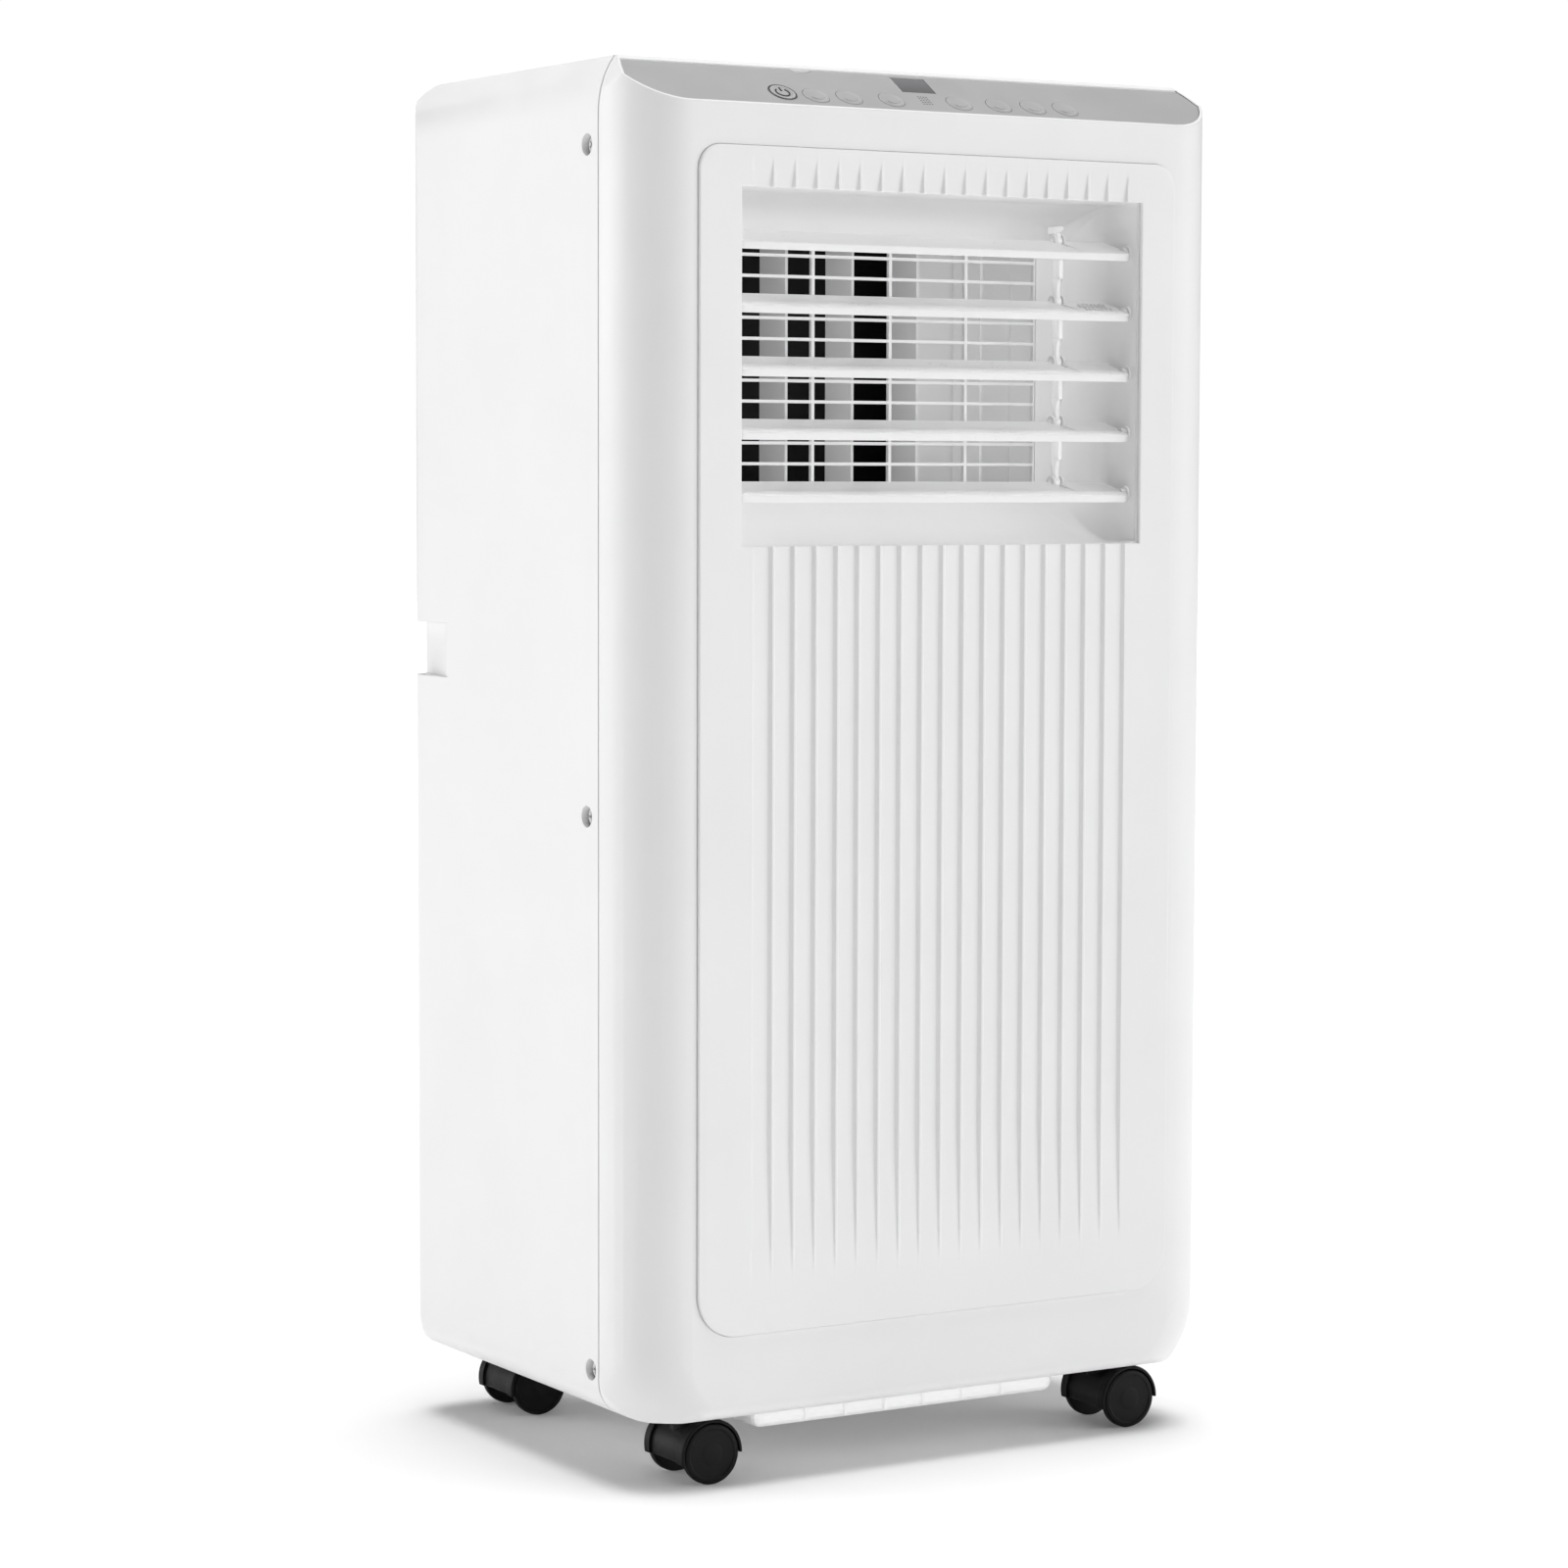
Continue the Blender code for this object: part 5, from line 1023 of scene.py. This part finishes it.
def make_ports():
    inner, lip = BACK_FACE - 0.010, BACK_FACE + GAP
    plug = [(0, inner), (0.0048, inner), (0.0053, BACK_FACE - 0.009), (0.0053, lip), (0.0085, lip)]
    plug += [(radius, RIM_BACK - drop) for radius, drop in
             ((0.0085, 0.0005), (0.0081, 0.0001), (0.0076, 0), (0.0050, 0), (0.0044, 0.0006),
              (0.0020, 0.0006), (0.0016, 0.0001), (0, 0))]
    bush = [(0.0032, inner), (0.0053, inner), (0.0053, lip), (0.0085, lip)]
    bush += [(radius, RIM_BACK - drop) for radius, drop in
             ((0.0085, 0.0005), (0.0080, 0), (0.0042, 0), (0.0034, 0.0004), (0.0032, 0.0010))]
    bush.append((0.0032, inner))
    for name, node, profile in (("upper_drain_cap", "upper_drain_plug", plug),
                                ("lower_drain_cap", "lower_drain_plug", plug),
                                ("gland_bush", "cord_gland", bush)):
        x, z = PORTS[node]
        dress(lathe(name, "Y", (x, 0, z), profile, 48), RUBBER, "cabinet", [node])


def make_cheek_face():
    """Light moulding on the front of the blower duct's dark cheek, with a lining up to the grille."""
    left, face_front = CHEEK_LEFT + 0.0030, CHEEK_FRONT - 0.0010
    outline = [(left, CHEEK_FRONT - 0.00002), (left + 0.0004, CHEEK_FRONT - 0.0007),
               (left + 0.0015, face_front), (CHEEK_RIGHT, face_front), (CHEEK_RIGHT, CHEEK_FRONT - 0.00002)]
    face = prism("cheek_face", outline, "Z", 0.4745, CHEEK_TOP)
    dress(face, DUCT_GREY, "cabinet")
    lining = box("duct_side_lining", (CHEEK_RIGHT - 0.0004, BAY_BACK + BAY_WALL + 2 * GAP, 0.4665),
                 (CHEEK_RIGHT + 0.00048, CHEEK_FRONT - 0.0011, CHEEK_TOP), 0.0002, 2)
    dress(lining, DUCT_GREY, "cabinet")


# ---------- casters and sump
def make_casters():
    for hand, sx in (("left", -1), ("right", 1)):
        for end, sy in (("front", -1), ("rear", 1)):
            make_caster(f"{end}_{hand}", sx * CASTER_X, sy * CASTER_Y)


def make_caster(corner, x, y):
    """Hood on a swivel neck, and two discs on an axle that trails behind the neck."""
    ax, az = x + CASTER_TRAIL, WHEEL_R
    drum = rounded_disc(HOOD_R, y - HOOD_HALF, y + HOOD_HALF, 0.0009)
    hood = lathe(f"hood_{corner}", "Y", (ax, 0, az), drum, 72)
    skirts = []
    for side in (-1, 1):
        near, far = y + side * (HOOD_HALF - 0.0006), y + side * DISC_OUT
        profile = [(RIM_IN, near), (RIM_OUT, near), (RIM_OUT, far - side * 0.0008),
                   (RIM_OUT - 0.0003, far - side * 0.0002), (RIM_OUT - 0.0007, far),
                   (RIM_IN, far), (RIM_IN, near)]
        skirts.append(lathe("skirt", "Y", (ax, 0, az), profile, 72))
    join(hood, skirts)
    cut(hood, [box("below", (ax - 0.05, y - 0.05, -0.02), (ax + 0.05, y + 0.05, az - 0.0040)),
               box("toe", (ax + 0.009, y - 0.05, -0.021), (ax + 0.051, y + 0.051, az - 0.0005))])
    neck = [(0, az + 0.008), (0.0080, az + 0.008), (0.0080, 0.0335), (0.0074, 0.0346), (0.0040, 0.0347),
            (0.0040, 0.0486), (0.0036, 0.0490), (0, 0.0490)]
    join(hood, lathe("neck", "Z", (x, y, 0), neck, 40))
    cut(hood, cylinder("bore", "Y", (ax, 0, az), AXLE_HOLE_R, y - 0.05, y + 0.05, 24))
    dress(hood, BLACK, f"caster_hood_{corner}", [f"caster_hood_{corner}"])
    parts = [cylinder("axle", "Y", (ax, 0, az), AXLE_R, y - DISC_OUT + 0.001, y + DISC_OUT - 0.001, 24)]
    for side in (-1, 1):
        near, far = y + side * DISC_IN, y + side * DISC_OUT
        profile = [(0, near), (WHEEL_R - 0.0006, near), (WHEEL_R - 0.0001, near + side * 0.0005),
                   (WHEEL_R, near + side * 0.0010)]
        profile += [(WHEEL_R - inset, far - side * drop) for inset, drop in
                    ((0, 0.0012), (0.0003, 0.0005), (0.0010, 0.0001), (0.0018, 0), (0.0026, 0),
                     (0.0030, 0.0004))]
        profile += [(radius, far - side * drop) for radius, drop in
                    ((0.0062, 0.0005), (0.0058, 0.0002), (0.0040, 0.0001), (0, 0))]
        parts.append(lathe("disc", "Y", (ax, 0, az), profile, 80))
    wheels = f"caster_wheels_{corner}"
    dress(merged(f"wheels_{corner}", parts), BLACK, wheels, [wheels])


SUMP_RIBS = (-0.0692, -0.0461, -0.0225, 0.0008, 0.0247, 0.0488)


def make_sump_ribs():
    front = FRONT + 0.0165
    ribs = [box("rib", (x - 0.0007, front - 0.0014, 0.0272), (x + 0.0007, front + 0.001, 0.0348), 0.0003, 2)
            for x in SUMP_RIBS]
    dress(merged("sump_ribs", ribs), WHITE, "cabinet")


# ---------- CAD nodes that stay
LOOKS = {
    "base_pan": WHITE, "upper_intake_grille": WHITE, "lower_intake_grille": WHITE,
    "outlet_grille": VANE_WHITE, "control_board": BOARD_GREEN, "swing_motor": STEEL,
    "upper_blower_motor": STEEL, "lower_blower_motor": STEEL, "evaporator": FINS, "condenser": FINS,
    "compressor": ENAMEL, "refrigerant_pipe": COPPER, "intake_filter": FILTER,
    "upper_blower_wheel": FAN_BLACK, "lower_blower_wheel": FAN_BLACK,
    "upper_blower_housing": SCROLL_DARK, "lower_blower_housing": SCROLL_DARK,
    "partition_deck": DUCT_GREY, "deflector_link": DUCT_GREY,
    **{f"deflector_vane_{number}": DUCT_GREY for number in range(1, 5)},
}
for node, look in LOOKS.items():
    for holder in NODES[node].material_slots:
        holder.material = look

for make in (make_front_cover, make_rear_shell, make_front_panel, make_louver_bay, make_vanes,
             make_louver_link, make_fascia, make_buttons, make_display, make_screws,
             make_exhaust_collar, make_ports, make_cheek_face, make_casters, make_sump_ribs):
    make()


# ---------- stage, light and camera
def make_stage():
    shape = bmesh.new()
    bmesh.ops.create_circle(shape, cap_ends=True, segments=96, radius=14.0)
    floor = add_object("floor", shape)
    graph = Graph("pale_floor")
    cloud = graph.remap(graph.noise(1.2, 3.0), 0.3, 0.7)
    graph.drive("Base Color", graph.mix(cloud, (0.90, 0.90, 0.90), (0.92, 0.92, 0.92)))
    graph.drive("Roughness", 0.9)
    graph.drive("Specular IOR Level", 0.0)
    floor.data.materials.append(graph.material)


def sun(name, towards, strength, angle, only=()):
    """Broad distant light from a direction; one that is only for some objects is a shadowless fill."""
    lamp = bpy.data.lights.new(name, "SUN")
    lamp.energy = strength
    lamp.angle = math.radians(angle)
    holder = bpy.data.objects.new(name, lamp)
    holder.rotation_euler = Vector(towards).to_track_quat("Z", "Y").to_euler()
    bpy.context.scene.collection.objects.link(holder)
    if only:
        lamp.use_shadow = False
        lit = bpy.data.collections.new(name)
        for piece in only:
            lit.objects.link(NODES[piece] if piece in NODES else bpy.data.objects[piece])
        holder.light_linking.receiver_collection = lit


def make_lights():
    world = bpy.data.worlds.new("studio")
    bpy.context.scene.world = world
    world.use_nodes = True
    nodes, links = world.node_tree.nodes, world.node_tree.links
    background = nodes["Background"]
    background.inputs["Color"].default_value = (1, 1, 1, 1)
    seen = nodes.new("ShaderNodeLightPath")
    level = nodes.new("ShaderNodeMapRange")
    level.inputs["To Min"].default_value = AMBIENT
    level.inputs["To Max"].default_value = 1.02
    links.new(seen.outputs["Is Camera Ray"], level.inputs["Value"])
    links.new(level.outputs["Result"], background.inputs["Strength"])
    sun("rear_left_softbox", (-0.81, 0.58, 0.10), 1.96, 50)
    sun("front_right_softbox", (0.74, -0.66, 0.20), 1.36, 48)
    sun("overhead_softbox", (0.05, 0.02, 1.0), 2.92, 40)
    sun("floor_fill", (0.0, 0.0, 1.0), 0.22, 10, ["floor"])
    sun("bay_fill", (0.0, -0.55, 0.83), 0.90, 40, ["louver_bay_skin", "vane_bearing_rings", "outlet_grille"])
    sun("duct_fill", (-0.75, -0.65, 0.10), 1.12, 40,
        ["duct_side_lining", "louver_link_bar", "cheek_face", "deflector_link", "base_pan", "sump_ribs"]
        + [f"deflector_vane_{number}" for number in range(1, 5)])
    sun("vane_fill", (0.0, -0.10, 0.99), 0.65, 40,
        [f"louver_{piece}_{number}" for piece in ("blade", "trim") for number in range(1, VANE_COUNT + 1)])


AMBIENT = 0.10


def make_camera():
    right, up = Vector((0.8571, -0.5152, 0.0027)), Vector((0.0354, 0.0641, 0.9973))
    forward = Vector((0.5139, 0.8547, -0.0732)).normalized()
    right = (right - forward * right.dot(forward)).normalized()
    up = right.cross(forward)
    lens = bpy.data.cameras.new("camera")
    lens.lens = 98.16
    lens.sensor_width = 36.0
    lens.sensor_fit = "HORIZONTAL"
    lens.clip_end = 60.0
    holder = bpy.data.objects.new("camera", lens)
    turn = Matrix((right, up, -forward)).transposed().to_4x4()
    holder.matrix_world = Matrix.Translation((-1.16633, -1.91442, 0.50075)) @ turn
    bpy.context.scene.collection.objects.link(holder)
    bpy.context.scene.camera = holder


make_stage()
make_lights()
make_camera()
bpy.context.scene.view_settings.view_transform = "Standard"
